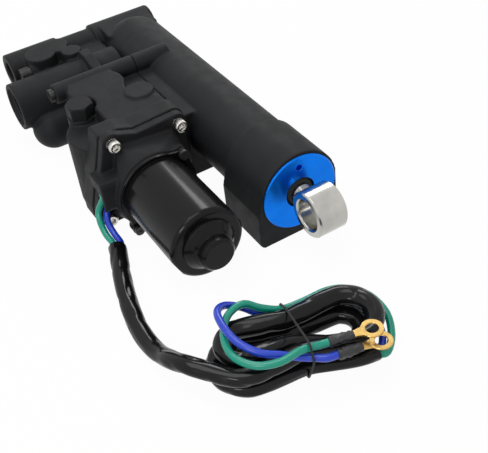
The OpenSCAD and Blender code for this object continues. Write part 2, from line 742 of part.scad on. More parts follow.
housing_front = -79;
housing_flange_l = 8;
housing_r = 33;
housing_bore_r = 25;
spigot_l = 6;
bell_inner_l = 13;
tab_angle = 47;
tab_r = 35;
tab_lobe_r = 4.4;
tab_l = 5;
head_pocket_r = 6.4;
motor_shaft_r = 4;
bearing_r = 9;
bearing_l = 7;
seal_pocket_r = 8;
seal_pocket_l = 5;
can_wall = 2;
can_flange_r = 32.5;
can_flange_l = 2;
flat_angle = 25;
flat_depth = 1.3;
front_x = can_l - can_back;
dome_r1 = 21;
dome_r2 = 16;
can_round_step = 15;
dome_step = 3;
nose_l_can = 13;
nose_round = 2;
core_r = 20.5;
core_ahead = 19;
core_behind = 19;
core_rear = core_ahead - can_back;
core_front = front_x - core_behind;
winding_l = 9;
winding_r = 16;
slot_count = 10;
slot_w = 3;
commutator_r = 9.5;
commutator_rear = -90;
commutator_front = -70;
magnet_over = 3;
magnet_l = core_front - core_rear + 2 * magnet_over;
magnet_t = 5;
magnet_angle = 130;
screw_head_r = 5;
screw_head_l = 6;
screw_l = 20;
washer_t = 1.6;
washer_r = 5.3;
can_screw_r = 2;
can_screw_head_r = 4;
can_screw_head_l = 3.2;
hood_left = -122;
hood_front = -84;
hood_low = -17;
hood_top = 11;
hood_inner = -104;
bell_share = 0.9;
grommet_x = -93.2;
grommet_l = 7;
grommet_w = 11.6;
grommet_inset = 0.4;
grommet_h = 6;
grommet_lip = 1.4;
channel_l = 9.6;
housing_flange_x = flange_joint + housing_flange_l;

module tab_lobes(grow = 0) for (side = [0, 180]) rotate(side + tab_angle)
    translate([tab_r, 0]) circle(tab_lobe_r + grow);

module tab_outline(r) {
    circle(r);
    tab_lobes();
    for (side = [0, 180]) rotate(side + tab_angle)
        polygon([[tab_r, tab_lobe_r], [r * cos(tab_angle), r * sin(tab_angle)],
            [r * cos(tab_angle), -r * sin(tab_angle)], [tab_r, -tab_lobe_r]]);
}

// The pump side casting of the motor: a flange with four ears that runs into a round bell
module motor_housing() color(casting_black) at_pump() difference() {
    union() {
        along_x(flange_joint, housing_flange_x) offset(delta = -over) flange_outline();
        hull() {
            along_x(housing_flange_x - over, housing_flange_x)
                polygon([for (p = screw_places)
                    bell_share * [p[0], p[1]] + (1 - bell_share) * [motor_y, motor_z]]);
            along_x(housing_front - over, housing_front) translate([motor_y, motor_z]) circle(housing_r);
        }
        along_x(housing_front - tab_l, housing_front) translate([motor_y, motor_z]) tab_outline(housing_r);
        at_motor() bar_x(cavity_r - run, flange_joint - spigot_l, flange_joint + over);
        cable_hood();
    }
    at_motor() {
        bar_x(housing_bore_r, housing_front - bell_inner_l, housing_front + over);
        bar_x(motor_shaft_r + seat, flange_joint - spigot_l - over, housing_front);
        bar_x(bearing_r, housing_front - bell_inner_l - bearing_l, housing_front);
        bar_x(seal_pocket_r, flange_joint - spigot_l - over, flange_joint - spigot_l + seal_pocket_l);
        for (side = [0, 180]) rotate([side + tab_angle, 0, 0])
            bar_x(can_screw_r, housing_front - tab_l - over, housing_front + over, tab_r);
    }
    for (p = screw_places) {
        bar_x(bolt_r, flange_joint - over, housing_flange_x + over, p[0], p[1]);
        bar_x(head_pocket_r, housing_flange_x, housing_front + over, p[0], p[1]);
    }
    translate([grommet_x - grommet_l / 2, hood_left + grommet_inset, -over])
        cube([grommet_l, grommet_w, grommet_h + over]);
    // Channel in which the leads run down, open to the side
    translate([housing_flange_x, hood_left - over, hood_low - over])
        cube([channel_l, grommet_w + grommet_inset + over, -hood_low + over]);
    translate([pump_rear, pump_left - belly[2], floor_z - belly[2]])
        cube([-pump_rear, belly[2] - pump_left, belly[2]]);
}

// Hood over the place where the leads come out
module cable_hood() {
    along_y(hood_left, hood_inner)
        polygon([[flange_joint, 0], [flange_joint, hood_top], [hood_front - corner_r / 2, hood_top],
            [hood_front, hood_top - corner_r], [hood_front, hood_low + corner_r],
            [hood_front - corner_r, hood_low], [housing_flange_x, hood_low], [housing_flange_x, 0]]);
}

module cable_grommet() color(rubber_black) at_pump()
    translate([grommet_x - grommet_l / 2 + run, hood_left + grommet_inset + run, -grommet_lip])
        cube([grommet_l - 2 * run, grommet_w - 2 * run, grommet_h + grommet_lip - run]);

module shaft_seal() color(rubber_black) at_pump() at_motor()
    tube_x(seal_pocket_r - run, motor_shaft_r + run, flange_joint - spigot_l + run,
        flange_joint - spigot_l + seal_pocket_l - run);

module rear_bearing() color(stainless) at_pump() at_motor()
    tube_x(bearing_r - run, motor_shaft_r + run, housing_front - bell_inner_l - bearing_l + run,
        housing_front - bell_inner_l);

module armature_shaft() color(tool_steel) at_pump() at_motor()
    bar_x(motor_shaft_r, cover_face + seat + coupler_grip + run, front_x + nose_l_can - 2 * over);

module armature_core() color(tool_steel) at_pump() at_motor() difference() {
    bar_x(core_r, core_rear, core_front);
    bar_x(motor_shaft_r, core_rear - over, core_front + over);
    for (i = [0:slot_count - 1]) rotate([i * 360 / slot_count, 0, 0])
        translate([core_rear - over, winding_r, -slot_w / 2])
            cube([core_front - core_rear + 2 * over, core_r, slot_w]);
}

module armature_windings() color(copper) at_pump() at_motor() {
    tube_x(winding_r + slot_w / 2, commutator_r, core_rear - winding_l, core_rear);
    tube_x(winding_r + slot_w / 2, commutator_r, core_front, core_front + winding_l);
}

module commutator() color(copper) at_pump() at_motor() difference() {
    bar_x(commutator_r, commutator_rear, commutator_front);
    bar_x(motor_shaft_r, commutator_rear - over, commutator_front + over);
    for (i = [0:slot_count - 1]) rotate([i * 360 / slot_count, 0, 0])
        translate([commutator_rear + over, commutator_r - over, -seat])
            cube([commutator_front - commutator_rear, over * 2, 2 * seat]);
}

brush_plate_l = 2;
brush_w = 6;
brush_l = 9;
spring_r = 1.6;

module brush_plate() color("sienna") at_pump() at_motor()
    tube_x(housing_bore_r - run, commutator_r + seat, housing_front - bell_inner_l + over,
        housing_front - bell_inner_l + over + brush_plate_l);

module brushes() color(rubber_black) at_pump() at_motor() for (side = [0, 180]) rotate([side, 0, 0])
    translate([housing_front - bell_inner_l + over + brush_plate_l, commutator_r + run, -brush_w / 2])
        cube([brush_w, brush_l, brush_w]);

module brush_springs() color(stainless) at_pump() at_motor() for (side = [0, 180]) rotate([side, 0, 0])
    translate([housing_front - bell_inner_l + over + brush_plate_l + brush_w / 2, 0, 0])
        bar_y(spring_r, commutator_r + run + brush_l, housing_bore_r - run);

module motor_magnets() color("dimgray") at_pump() at_motor() for (side = [0, 180]) rotate([side, 0, 0])
    translate([core_rear - ring_cord_r, 0, 0]) rotate([0, 90, 0]) rotate(-magnet_angle / 2)
        rotate_extrude(angle = magnet_angle) translate([can_r - can_wall - magnet_t - run, 0])
            square([magnet_t, magnet_l]);

// Drawn steel can with a stepped front and a bearing nose
module can_profile(r, back) polygon([[0, back], [r, back], [r, front_x - corner_r - dome_step],
    for (a = [0:can_round_step:90])
        [r - corner_r + corner_r * cos(a), front_x - corner_r - dome_step + corner_r * sin(a)],
    [dome_r1, front_x - dome_step], [dome_r1, front_x - cap_lip], [dome_r1 - cap_lip, front_x],
    [dome_r2, front_x + dome_step], [nose_d / 2, front_x + dome_step + cap_lip],
    [nose_d / 2, front_x + nose_l_can - nose_round],
    [nose_d / 2 - nose_round, front_x + nose_l_can], [0, front_x + nose_l_can]]);

// Space under the level that the castings rest on, about the motor axis
module under_motor() translate([-can_back - 2 * over, -can_flange_r - over, floor_z - motor_z - can_flange_r])
    cube([2 * can_flange_r, 2 * can_flange_r + 2 * over, can_flange_r]);

module motor_can() color(gloss_black) at_pump() at_motor() difference() {
    union() {
        turned_x() can_profile(can_r, -can_back);
        along_x(-can_back, -can_back + can_flange_l) {
            circle(can_flange_r);
            tab_outline(can_flange_r);
        }
    }
    bar_x(can_r - can_wall, -can_back - over, front_x - corner_r - dome_step - can_wall);
    bar_x(bearing_r + run, front_x - corner_r - dome_step - can_wall - over, front_x + nose_l_can - can_wall);
    for (side = [0, 180]) rotate([side + flat_angle, 0, 0])
        translate([-can_back + 2 * can_flange_l, can_r - flat_depth, -can_r])
            cube([2 * can_l, can_r, 2 * can_r]);
    for (side = [0, 180]) rotate([side + tab_angle, 0, 0])
        bar_x(can_screw_r, -can_back - over, -can_back + can_flange_l + over, tab_r);
    under_motor();
}

module front_bearing() color(stainless) at_pump() at_motor()
    tube_x(bearing_r, motor_shaft_r + run, front_x, front_x + bearing_l);

module can_seal() color(rubber_black) at_pump() at_motor() difference() {
    tube_x(can_flange_r - cap_lip / 2, can_r - can_wall, housing_front, -can_back);
    under_motor();
}

module can_screws() color(rubber_black) at_pump() at_motor() for (side = [0, 180])
    rotate([side + tab_angle, 0, 0]) translate([0, tab_r, 0]) difference() {
        union() {
            bar_x(can_screw_r - run, housing_front - tab_l, -can_back + can_flange_l);
            bar_x(can_screw_head_r, -can_back + can_flange_l, -can_back + can_flange_l + can_screw_head_l);
        }
        translate([-can_back + can_flange_l + can_screw_head_l / 2, 0, 0]) {
            translate([0, -can_screw_r, -seat]) cube([can_screw_head_l, 2 * can_screw_r, 2 * seat]);
            translate([0, -seat, -can_screw_r]) cube([can_screw_head_l, 2 * seat, 2 * can_screw_r]);
        }
    }

module flange_lock_washers() color(stainless) at_pump() for (p = screw_places)
    translate([housing_flange_x, p[0], p[1]]) difference() {
        bar_x(washer_r, 0, washer_t);
        bar_x(bolt_r + run, -over, washer_t + over);
        translate([-over, bolt_r - over, -seat]) cube([washer_t + 2 * over, washer_r, 2 * seat]);
    }

module flange_screws() color(stainless) at_pump() for (p = screw_places)
    translate([0, p[0], p[1]]) socket_screw_x(bolt_r - run, screw_head_r, screw_head_l, screw_l,
        housing_flange_x + washer_t);

// Leads: tubes swept along routes, heights over the surface that the unit rests on

lead_r = lead_d / 2;
sleeve_r = sleeve_d / 2;
hank_centre = [98.8, -73];
hank_angle = 76.5;
hank_half_l = 34;
hank_half_w = 25;
hank_waist = 5;
hank_gap = 1.6;
hank_rings = 24;
hank_turns = 2;
hank_sides = 6;
tie_t = 1.6;
tie_w = 2;
tie_reach = 8;
run_rings = 4;
lead_in_rings = 2;
first_layer_h = tie_t + seat + sleeve_r;
second_layer_h = first_layer_h + sleeve_d + hank_gap;

// Routes of the two leads from the grommet to the sleeve: X, Y and height
green_lead_route = [[-93.2, -119.2, 37.6], [-93.2, -119.2, 32.4], [-94, -122, 27], [-93.4, -125.6, 21],
    [-88, -127.6, 14.5], [-79.5, -128, 9], [-70, -127.2, 6.5], [-65.1, -129, 6.5]];
blue_lead_route = [[-93.2, -113.6, 37.6], [-93.2, -113.6, 32.4], [-93, -116.6, 26], [-91, -120, 19.5],
    [-85.5, -122.4, 13.5], [-77, -122.2, 8.5], [-68, -121.8, 6.5], [-63.1, -123.6, 6.5]];
// Route of the sleeve up to the hank
sleeve_route = [[-64.1, -126.3, 6.5], [-51.9, -130.7, 6.5], [-32, -137.5, 6.5], [-10, -144, 6.5],
    [12, -148.8, 6.5], [33, -150.8, 6.5], [52, -150, 9.5], [69, -148, 18]];
// Routes of the lead ends, along and across the hank
green_tail_route = [[47, -27.8, 8.4], [53, -28.2, 8.6], [60.5, -18, 11], [64.5, -2, 14],
    [60, 15, 16.5], [49, 26, 17.5], [35, 29.5, 18], [16.5, 26, 18.5], [0, 23.5, 20],
    [-14, 24.5, 26], [-25, 26, 33], [-36, 21, 34], [-43, 11, 34], [-46.5, -4, 34], [-44, -17, 34],
    [-34, -27.5, 34.2], [-20, -31.5, 35.8], [-6, -29.5, 37.8], [7, -28, 35.5], [13, -28, 35.5]];
blue_tail_route = [[47, -22.2, 8.4], [52, -21.6, 8.4], [57, -10, 8.4], [57.5, 6, 8.8],
    [53, 19, 9.5], [45, 26.5, 10.5], [31, 28.5, 11.5], [16.5, 25.5, 12.5], [0, 22.5, 13.5],
    [-14, 25, 19], [-25.5, 30, 26], [-37, 29, 33.6], [-44, 21, 38.4], [-44.5, 7, 39.8],
    [-40, -9, 39], [-29.5, -20, 36], [-17.5, -24.8, 33.8], [-7, -28.6, 31.2], [2, -32.4, 30.6],
    [9, -35.4, 30.6], [16, -35.4, 30.6]];

function unit(v) = v / norm(v);
function at_floor(points) = [for (p = points) [p[0], p[1], p[2] + floor_z]];
function from_hank(p) = [
    hank_centre[0] + p[0] * cos(hank_angle) - p[1] * sin(hank_angle),
    hank_centre[1] + p[0] * sin(hank_angle) + p[1] * cos(hank_angle), p[2]];
// A smooth curve through the points, with n steps between two of them
function smooth(points, n) = concat([for (i = [0:len(points) - 2], j = [0:n - 1])
    let(a = points[max(i - 1, 0)], b = points[i], c = points[i + 1],
        d = points[min(i + 2, len(points) - 1)], t = j / n)
    b + (c - a) * t / 2 + (2 * a - 5 * b + 4 * c - d) * t * t / 2 + (3 * b - a - 3 * c + d) * t * t * t / 2],
    [points[len(points) - 1]]);
first_normal = [0.3, 0.2, 1];
function tangent(p, i) = unit(p[min(i + 1, len(p) - 1)] - p[max(i - 1, 0)]);
function upright(t, n) = unit(n - (n * t) * t);
// A normal at every point, carried along the tube so that it doesn't twist
function normals(p, i = 0, n = first_normal) = i == len(p) ? []
    : let(m = upright(tangent(p, i), n)) concat([m], normals(p, i + 1, m));
function path_length(p, i = 0) = i >= len(p) - 1 ? 0 : norm(p[i + 1] - p[i]) + path_length(p, i + 1);

module tube(p, r, sides) {
    n = normals(p);
    count = len(p);
    points = [for (i = [0:count - 1]) let(t = tangent(p, i), b = cross(t, n[i]))
        for (k = [0:sides - 1]) p[i] + r * (cos(360 * k / sides) * n[i] + sin(360 * k / sides) * b)];
    skin = [for (i = [0:count - 2], k = [0:sides - 1])
        let(a = i * sides + k, b = i * sides + (k + 1) % sides)
        each [[a, a + sides, b], [b, a + sides, b + sides]]];
    caps = [for (k = [1:sides - 2]) each [[0, k, k + 1],
        [(count - 1) * sides, (count - 1) * sides + k + 1, (count - 1) * sides + k]]];
    polyhedron(points, concat(skin, caps));
}

// Ring k of the hank: runs of four steps and ends of eight, in toward the middle and out again
hank_step = sleeve_d + hank_gap;
hank_last = hank_turns * hank_rings + run_rings;
hank_turn_back = hank_last / 2;
hank_inner_w = hank_half_w - hank_step * hank_turn_back / hank_rings;
function hank_w(k) = hank_inner_w + hank_step * abs(k - hank_turn_back) / hank_rings;
function hank_h(k) = let(f = min(max((k - hank_turn_back) / run_rings + 0.5, 0), 1))
    second_layer_h - (second_layer_h - first_layer_h) * f * f * (3 - 2 * f);
function hank_point(k) =
    let(j = (k + hank_rings) % hank_rings, half = floor(j / (hank_rings / 2)), q = j % (hank_rings / 2),
        side = half == 0 ? 1 : -1, w = hank_w(k), f = q / run_rings,
        a = -90 + (q - run_rings) * 180 / (hank_rings / 2 - run_rings))
    q <= run_rings
        ? [side * hank_half_l * (2 * f - 1), -side * (w - hank_waist * pow(sin(180 * f), 2)), hank_h(k)]
        : [side * (hank_half_l + w * cos(a)), side * w * sin(a), hank_h(k)];
lead_in = unit(hank_point(1 - lead_in_rings) - hank_point(-1 - lead_in_rings));
hank_start = hank_point(-lead_in_rings) - sleeve_d * lead_in;
hank_path = concat([hank_start], [for (k = [-lead_in_rings:hank_last]) hank_point(k)],
    [hank_point(hank_last) + [sleeve_d, 0, 0]]);
hank_line = at_floor([for (p = hank_path) from_hank(p)]);
hank_self_gap = min([for (i = [0:len(hank_line) - 1], j = [0:len(hank_line) - 1])
    if (j - i > hank_rings / 3) norm(hank_line[i] - hank_line[j]) - sleeve_d]);
sleeve_line = at_floor(smooth(concat(sleeve_route,
    [from_hank(hank_start - sleeve_d * lead_in), from_hank(hank_start)]), 2));
green_tail_line = at_floor([for (p = green_tail_route) from_hank(p)]);
blue_tail_line = at_floor([for (p = blue_tail_route) from_hank(p)]);
echo(hank_self_gap = hank_self_gap, hank_length = path_length(hank_line),
    sleeve_length = path_length(sleeve_line), green_tail = path_length(green_tail_line),
    blue_tail = path_length(blue_tail_line));

module lead_green() color(green_pvc) at_pump() tube(at_floor(green_lead_route), lead_r, 8);
module lead_blue() color(blue_pvc) at_pump() tube(at_floor(blue_lead_route), lead_r, 8);
module harness_sleeve() color(rubber_black) at_pump() tube(sleeve_line, sleeve_r, 12);
module harness_hank() color(rubber_black) at_pump() tube(hank_line, sleeve_r, hank_sides);
module tail_green() color(green_pvc) at_pump() tube(green_tail_line, lead_r, 8);
module tail_blue() color(blue_pvc) at_pump() tube(blue_tail_line, lead_r, 8);

boot_r = 4;
boot_l = 17;
terminal_t = 1.2;
terminal_barrel_r = 2.6;
terminal_reach = 12;
terminal_neck_w = 6;

// Moves a shape to the end of a lead, its X axis along the hank
module at_tail(route) {
    tip = route[len(route) - 1];
    translate([hank_centre[0], hank_centre[1], floor_z]) rotate(hank_angle)
        translate([tip[0], tip[1], tip[2]]) children();
}

module terminal_boots() color(rubber_black) at_pump()
    for (route = [green_tail_route, blue_tail_route]) at_tail(route) bar_x(boot_r, 0, boot_l);

module ring_terminals() color(brass_yellow) at_pump()
    for (route = [green_tail_route, blue_tail_route]) at_tail(route) translate([boot_l, 0, 0]) difference() {
        union() {
            bar_x(terminal_barrel_r, 0, terminal_t * 2);
            translate([0, -terminal_neck_w / 2, -terminal_t / 2])
                cube([terminal_reach - terminal_bore_d / 2, terminal_neck_w, terminal_t]);
            translate([terminal_reach, 0, -terminal_t / 2]) cylinder(h = terminal_t, r = terminal_d / 2);
        }
        translate([terminal_reach, 0, -terminal_t]) cylinder(h = 2 * terminal_t, r = terminal_bore_d / 2);
    }

// Tubes that the tie goes round at the hank's waist: across the hank, height, radius
tie_rounds = concat(
    [for (k = [run_rings / 2, hank_rings / 2 + run_rings / 2, hank_rings * 3 / 2 + run_rings / 2,
        hank_last - run_rings / 2]) [hank_point(k)[1], hank_point(k)[2], sleeve_r]],
    [for (route = [green_tail_route, blue_tail_route], p = route)
        if (abs(p[0]) < tie_reach) [p[1], p[2], lead_r]]);

module tie_outline(grow) hull()
    for (c = tie_rounds) translate([c[0], c[1]]) circle(c[2] + seat + grow, $fn = 32);

module hank_tie() color(rubber_black) at_pump()
    translate([hank_centre[0], hank_centre[1], floor_z]) rotate(hank_angle)
        along_x(-tie_w / 2, tie_w / 2) difference() {
            tie_outline(tie_t);
            tie_outline(0);
        }

cylinder_body();
end_screw();
end_screw_o_ring();
rod_wiper();
rod_seal();
tilt_rod();
rod_eye();
piston();
piston_ring();
piston_nut();
shock_valve_balls();
free_piston();
free_piston_o_ring();
pump_body();
fill_plug();
fill_plug_o_ring();
gallery_plug();
transfer_o_ring();
pump_bolts();
gear_pump_body();
gear_pump_cover();
drive_gear();
driven_gear();
pump_screws();
filter_screen();
shaft_coupler();
shuttle_spool();
spool_plug();
up_check_valve();
down_check_valve();
check_plugs();
manual_valve();
manual_valve_o_ring();
motor_housing();
shaft_seal();
rear_bearing();
brush_plate();
brushes();
brush_springs();
armature_shaft();
armature_core();
armature_windings();
commutator();
motor_magnets();
motor_can();
front_bearing();
can_seal();
can_screws();
flange_screws();
flange_lock_washers();
cable_grommet();
lead_green();
lead_blue();
harness_sleeve();
harness_hank();
tail_green();
tail_blue();
terminal_boots();
ring_terminals();
hank_tie();
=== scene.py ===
"""Looks of the power trim and tilt unit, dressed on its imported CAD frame."""
import sys
import logging
import math
from dataclasses import dataclass, field
from enum import Enum
from typing import Callable, Iterable, Sequence

import bmesh
import bpy
from mathutils import Matrix, Vector, geometry, noise


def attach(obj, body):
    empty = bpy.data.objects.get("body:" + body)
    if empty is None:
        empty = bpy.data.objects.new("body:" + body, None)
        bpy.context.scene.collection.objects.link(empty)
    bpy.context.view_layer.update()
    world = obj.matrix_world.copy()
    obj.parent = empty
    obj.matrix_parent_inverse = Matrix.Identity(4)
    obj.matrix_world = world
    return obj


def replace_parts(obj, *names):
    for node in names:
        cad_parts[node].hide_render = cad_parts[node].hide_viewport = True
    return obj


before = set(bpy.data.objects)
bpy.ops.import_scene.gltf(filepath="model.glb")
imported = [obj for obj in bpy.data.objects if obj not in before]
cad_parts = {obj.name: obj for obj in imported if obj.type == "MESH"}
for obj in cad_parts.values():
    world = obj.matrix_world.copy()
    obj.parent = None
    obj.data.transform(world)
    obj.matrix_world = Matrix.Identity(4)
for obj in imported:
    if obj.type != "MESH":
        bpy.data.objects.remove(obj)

log = logging.getLogger("tilt_unit")
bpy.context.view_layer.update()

MM = 0.001
FACE = Vector((0.297, 0.0445, -0.008))
FLOOR_H = -39.0
WHITE = (1.0, 1.0, 1.0, 1.0)
WAVE_PERIOD = 0.314
# Painted edge highlight: how far in from an edge, and between which cosines of the rounded and true
# normals, a lighter colour is painted, and the size of the noise that breaks it up.
HIGHLIGHT_REACH = 1.6
HIGHLIGHT_COSINES = (0.99, 0.86)
HIGHLIGHT_BREAKUP = 4.0
PATCH_SPREAD = (0.35, 0.65)
SMEAR_SPREAD = (0.3, 0.7)
SMEARS_PER_PATCH = 3
ROUND_SKIN = 1.2
Point = tuple[float, float, float]
Face = tuple[int, ...]
Shape = tuple[list[Vector], list[Face]]


def at(x: float, y: float, z: float) -> Vector:
    """Turns millimetres from the middle of the tube's front face into the part's frame in metres."""
    return Vector((x, y, z)) * MM + FACE


def over_floor(point: Sequence[float]) -> Vector:
    """Turns X, Y and a height over the floor, in millimetres, into the part's frame in metres."""
    return at(point[0], point[1], point[2] + FLOOR_H)


def smooth_line(points: Sequence[Sequence[float]], steps: int) -> list[Vector]:
    """Runs a smooth curve through the points.

    Args:
        points: The points that the curve passes.
        steps: How many pieces each stretch between two points is cut into.

    Returns:
        The points along the curve, first and last among them.
    """
    given = [Vector(p) for p in points]
    line = []
    for i in range(len(given) - 1):
        a, b = given[max(i - 1, 0)], given[i]
        c, d = given[i + 1], given[min(i + 2, len(given) - 1)]
        for j in range(steps):
            t = j / steps
            line.append(b + (c - a) * (t / 2) + (2 * a - 5 * b + 4 * c - d) * (t * t / 2)
                        + (3 * b - a - 3 * c + d) * (t ** 3 / 2))
    return line + [given[-1]]


def line_length(line: Sequence[Vector]) -> float:
    """Adds up the length of a line of points."""
    return sum((b - a).length for a, b in zip(line, line[1:]))


def skin_faces(rings: int, sides: int, start: int = 0, closed: bool = False) -> list[Face]:
    """Joins rings of points into a skin.

    Args:
        rings: How many rings there are.
        sides: How many points each ring has.
        start: The number of the first ring's first point.
        closed: True to join the last ring to the first, False to cap both ends.

    Returns:
        The faces as runs of point numbers.
    """
    faces = []
    for i in range(rings if closed else rings - 1):
        here, there = start + i * sides, start + (i + 1) % rings * sides
        for k in range(sides):
            after = (k + 1) % sides
            faces.append((here + k, here + after, there + after, there + k))
    if not closed:
        end = start + (rings - 1) * sides
        faces += [tuple(range(start, start + sides)), tuple(range(end, end + sides))]
    return faces


class Marks(Enum):
    """How the fine marks of a finish lie."""

    GRAIN = "even grain"
    TURNED_X = "rings round the X axis"
    TURNED_Y = "rings round the Y axis"
    CREASES = "creases of a shrunk or folded sleeve"
    WOUND = "turns of enamelled wire"


@dataclass(frozen=True)
class Finish:
    """A finish whose colour, roughness and bump come from node patterns in millimetres."""

    name: str
    slot: str
    colour: Point
    second: Point
    metal: float = 0.0
    rough: tuple[float, float] = (0.4, 0.5)
    patch: float = 30.0
    grain: float = 0.6
    grain_depth: float = 0.02
    marks: Marks = Marks.GRAIN
    mark_size: float = 0.5
    mark_depth: float = 0.0
    centre: Point = (0.0, 0.0, 0.0)
    edge: float = 0.5
    # The next two fields paint a lighter colour along edges as a painted highlight, and set how
    # strongly it shows.
    edge_highlight: Point | None = None
    edge_highlight_share: float = 0.5
    coat: float = 0.0
    coat_rough: float = 0.1
    specular: float = 0.5

    def material(self) -> bpy.types.Material:
        """Builds the finish's material once, and hands out the same one after that.

        Returns:
            The node material.
        """
        known = bpy.data.materials.get(self.name)
        if known:
            return known
        made = bpy.data.materials.new(self.name)
        made.use_nodes = True
        tree = made.node_tree
        shader = tree.nodes["Principled BSDF"]
        place = tree.nodes.new("ShaderNodeTexCoord")
        scale = tree.nodes.new("ShaderNodeMapping")
        scale.vector_type = "TEXTURE"
        scale.inputs["Location"].default_value = at(*self.centre)
        scale.inputs["Scale"].default_value = (MM, MM, MM)
        tree.links.new(place.outputs["Object"], scale.inputs["Vector"])
        where = scale.outputs["Vector"]
        self._colour(tree, shader, where)
        self._roughness(tree, shader, where)
        self._bump(tree, shader, where)
        shader.inputs["Metallic"].default_value = self.metal
        shader.inputs["Coat Weight"].default_value = self.coat
        shader.inputs["Coat Roughness"].default_value = self.coat_rough
        shader.inputs["Specular IOR Level"].default_value = self.specular
        made.diffuse_color = (*self.colour, 1.0)
        return made

    def _noise(self, tree: bpy.types.NodeTree, where: bpy.types.NodeSocket, size: float,
               detail: float) -> bpy.types.Node:
        """Adds a noise pattern whose spots are about size millimetres wide."""
        spots = tree.nodes.new("ShaderNodeTexNoise")
        spots.inputs["Scale"].default_value = 1.0 / size
        spots.inputs["Detail"].default_value = detail
        tree.links.new(where, spots.inputs["Vector"])
        return spots

    def _spread(self, tree: bpy.types.NodeTree, value: bpy.types.NodeSocket,
                given: tuple[float, float], wanted: tuple[float, float]) -> bpy.types.NodeSocket:
        """Stretches a value from the given span to the wanted one."""
        spread = tree.nodes.new("ShaderNodeMapRange")
        spread.inputs["From Min"].default_value, spread.inputs["From Max"].default_value = given
        spread.inputs["To Min"].default_value, spread.inputs["To Max"].default_value = wanted
        tree.links.new(value, spread.inputs["Value"])
        return spread.outputs["Result"]

    def _colour(self, tree: bpy.types.NodeTree, shader: bpy.types.Node,
                where: bpy.types.NodeSocket) -> None:
        """Mixes the two colours in slow patches, and paints a lighter colour along edges as a painted
        edge highlight, broken up by noise.

        Args:
            tree: The material's node tree.
            shader: Its main shader.
            where: The place in millimetres.
        """
        patches = self._noise(tree, where, self.patch, detail=6.0).outputs["Fac"]
        mix = tree.nodes.new("ShaderNodeMix")
        mix.data_type = "RGBA"
        mix.inputs["A"].default_value = (*self.colour, 1.0)
        mix.inputs["B"].default_value = (*self.second, 1.0)
        tree.links.new(self._spread(tree, patches, PATCH_SPREAD, (0.0, 1.0)), mix.inputs["Factor"])
        colour = mix.outputs["Result"]
        # Painted edge highlight: a lighter colour is painted where the rounded normal turns away from
        # the true one, broken up by noise.
        if self.edge_highlight:
            rounded = tree.nodes.new("ShaderNodeBevel")
            rounded.inputs["Radius"].default_value = HIGHLIGHT_REACH * self.edge * MM
            true = tree.nodes.new("ShaderNodeNewGeometry")
            dot = tree.nodes.new("ShaderNodeVectorMath")
            dot.operation = "DOT_PRODUCT"
            tree.links.new(rounded.outputs["Normal"], dot.inputs[0])
            tree.links.new(true.outputs["Normal"], dot.inputs[1])
            at_edge = self._spread(tree, dot.outputs["Value"], HIGHLIGHT_COSINES, (0.0, self.edge_highlight_share))
            highlight_breakup = self._noise(tree, where, HIGHLIGHT_BREAKUP, detail=4.0)
            share = tree.nodes.new("ShaderNodeMath")
            share.operation = "MULTIPLY"
            tree.links.new(at_edge, share.inputs[0])
            tree.links.new(highlight_breakup.outputs["Fac"], share.inputs[1])
            # This mix paints the lighter edge colour over the patches as a painted highlight.
            bare = tree.nodes.new("ShaderNodeMix")
            bare.data_type = "RGBA"
            bare.inputs["B"].default_value = (*self.edge_highlight, 1.0)
            tree.links.new(share.outputs["Value"], bare.inputs["Factor"])
            tree.links.new(colour, bare.inputs["A"])
            colour = bare.outputs["Result"]
        tree.links.new(colour, shader.inputs["Base Color"])

    def _roughness(self, tree: bpy.types.NodeTree, shader: bpy.types.Node,
                   where: bpy.types.NodeSocket) -> None:
        """Lets the roughness wander between its two values in handling marks."""
        smears = self._noise(tree, where, self.patch / SMEARS_PER_PATCH, detail=5.0).outputs["Fac"]
        tree.links.new(self._spread(tree, smears, SMEAR_SPREAD, self.rough),
                       shader.inputs["Roughness"])

    def _bump(self, tree: bpy.types.NodeTree, shader: bpy.types.Node,
              where: bpy.types.NodeSocket) -> None:
        """Stacks the softened edges, the grain and the finish's marks into one normal.

        Args:
            tree: The material's node tree.
            shader: Its main shader.
            where: The place in millimetres.
        """
        rounded = tree.nodes.new("ShaderNodeBevel")
        rounded.inputs["Radius"].default_value = self.edge * MM
        normal = rounded.outputs["Normal"]
        heights = [(self._noise(tree, where, self.grain, detail=4.0).outputs["Fac"],
                    self.grain_depth)]
        if self.marks in (Marks.TURNED_X, Marks.TURNED_Y, Marks.WOUND):
            rings = tree.nodes.new("ShaderNodeTexWave")
            rings.wave_type = "RINGS"
            rings.rings_direction = "X" if self.marks is Marks.WOUND else self.marks.name[-1]
            rings.inputs["Scale"].default_value = WAVE_PERIOD / self.mark_size
            rings.inputs["Distortion"].default_value = 0.4
            rings.inputs["Detail"].default_value = 2.0
            tree.links.new(where, rings.inputs["Vector"])
            heights.append((rings.outputs["Fac"], self.mark_depth))
        if self.marks is Marks.CREASES:
            folds = tree.nodes.new("ShaderNodeTexNoise")
            folds.noise_type = "RIDGED_MULTIFRACTAL"
            folds.inputs["Scale"].default_value = 1.0 / self.mark_size
            folds.inputs["Detail"].default_value = 1.5
            tree.links.new(where, folds.inputs["Vector"])
            heights.append((folds.outputs["Fac"], self.mark_depth))
        for height, depth in heights:
            bump = tree.nodes.new("ShaderNodeBump")
            bump.inputs["Distance"].default_value = depth * MM
            tree.links.new(height, bump.inputs["Height"])
            tree.links.new(normal, bump.inputs["Normal"])
            normal = bump.outputs["Normal"]
        tree.links.new(normal, shader.inputs["Normal"])
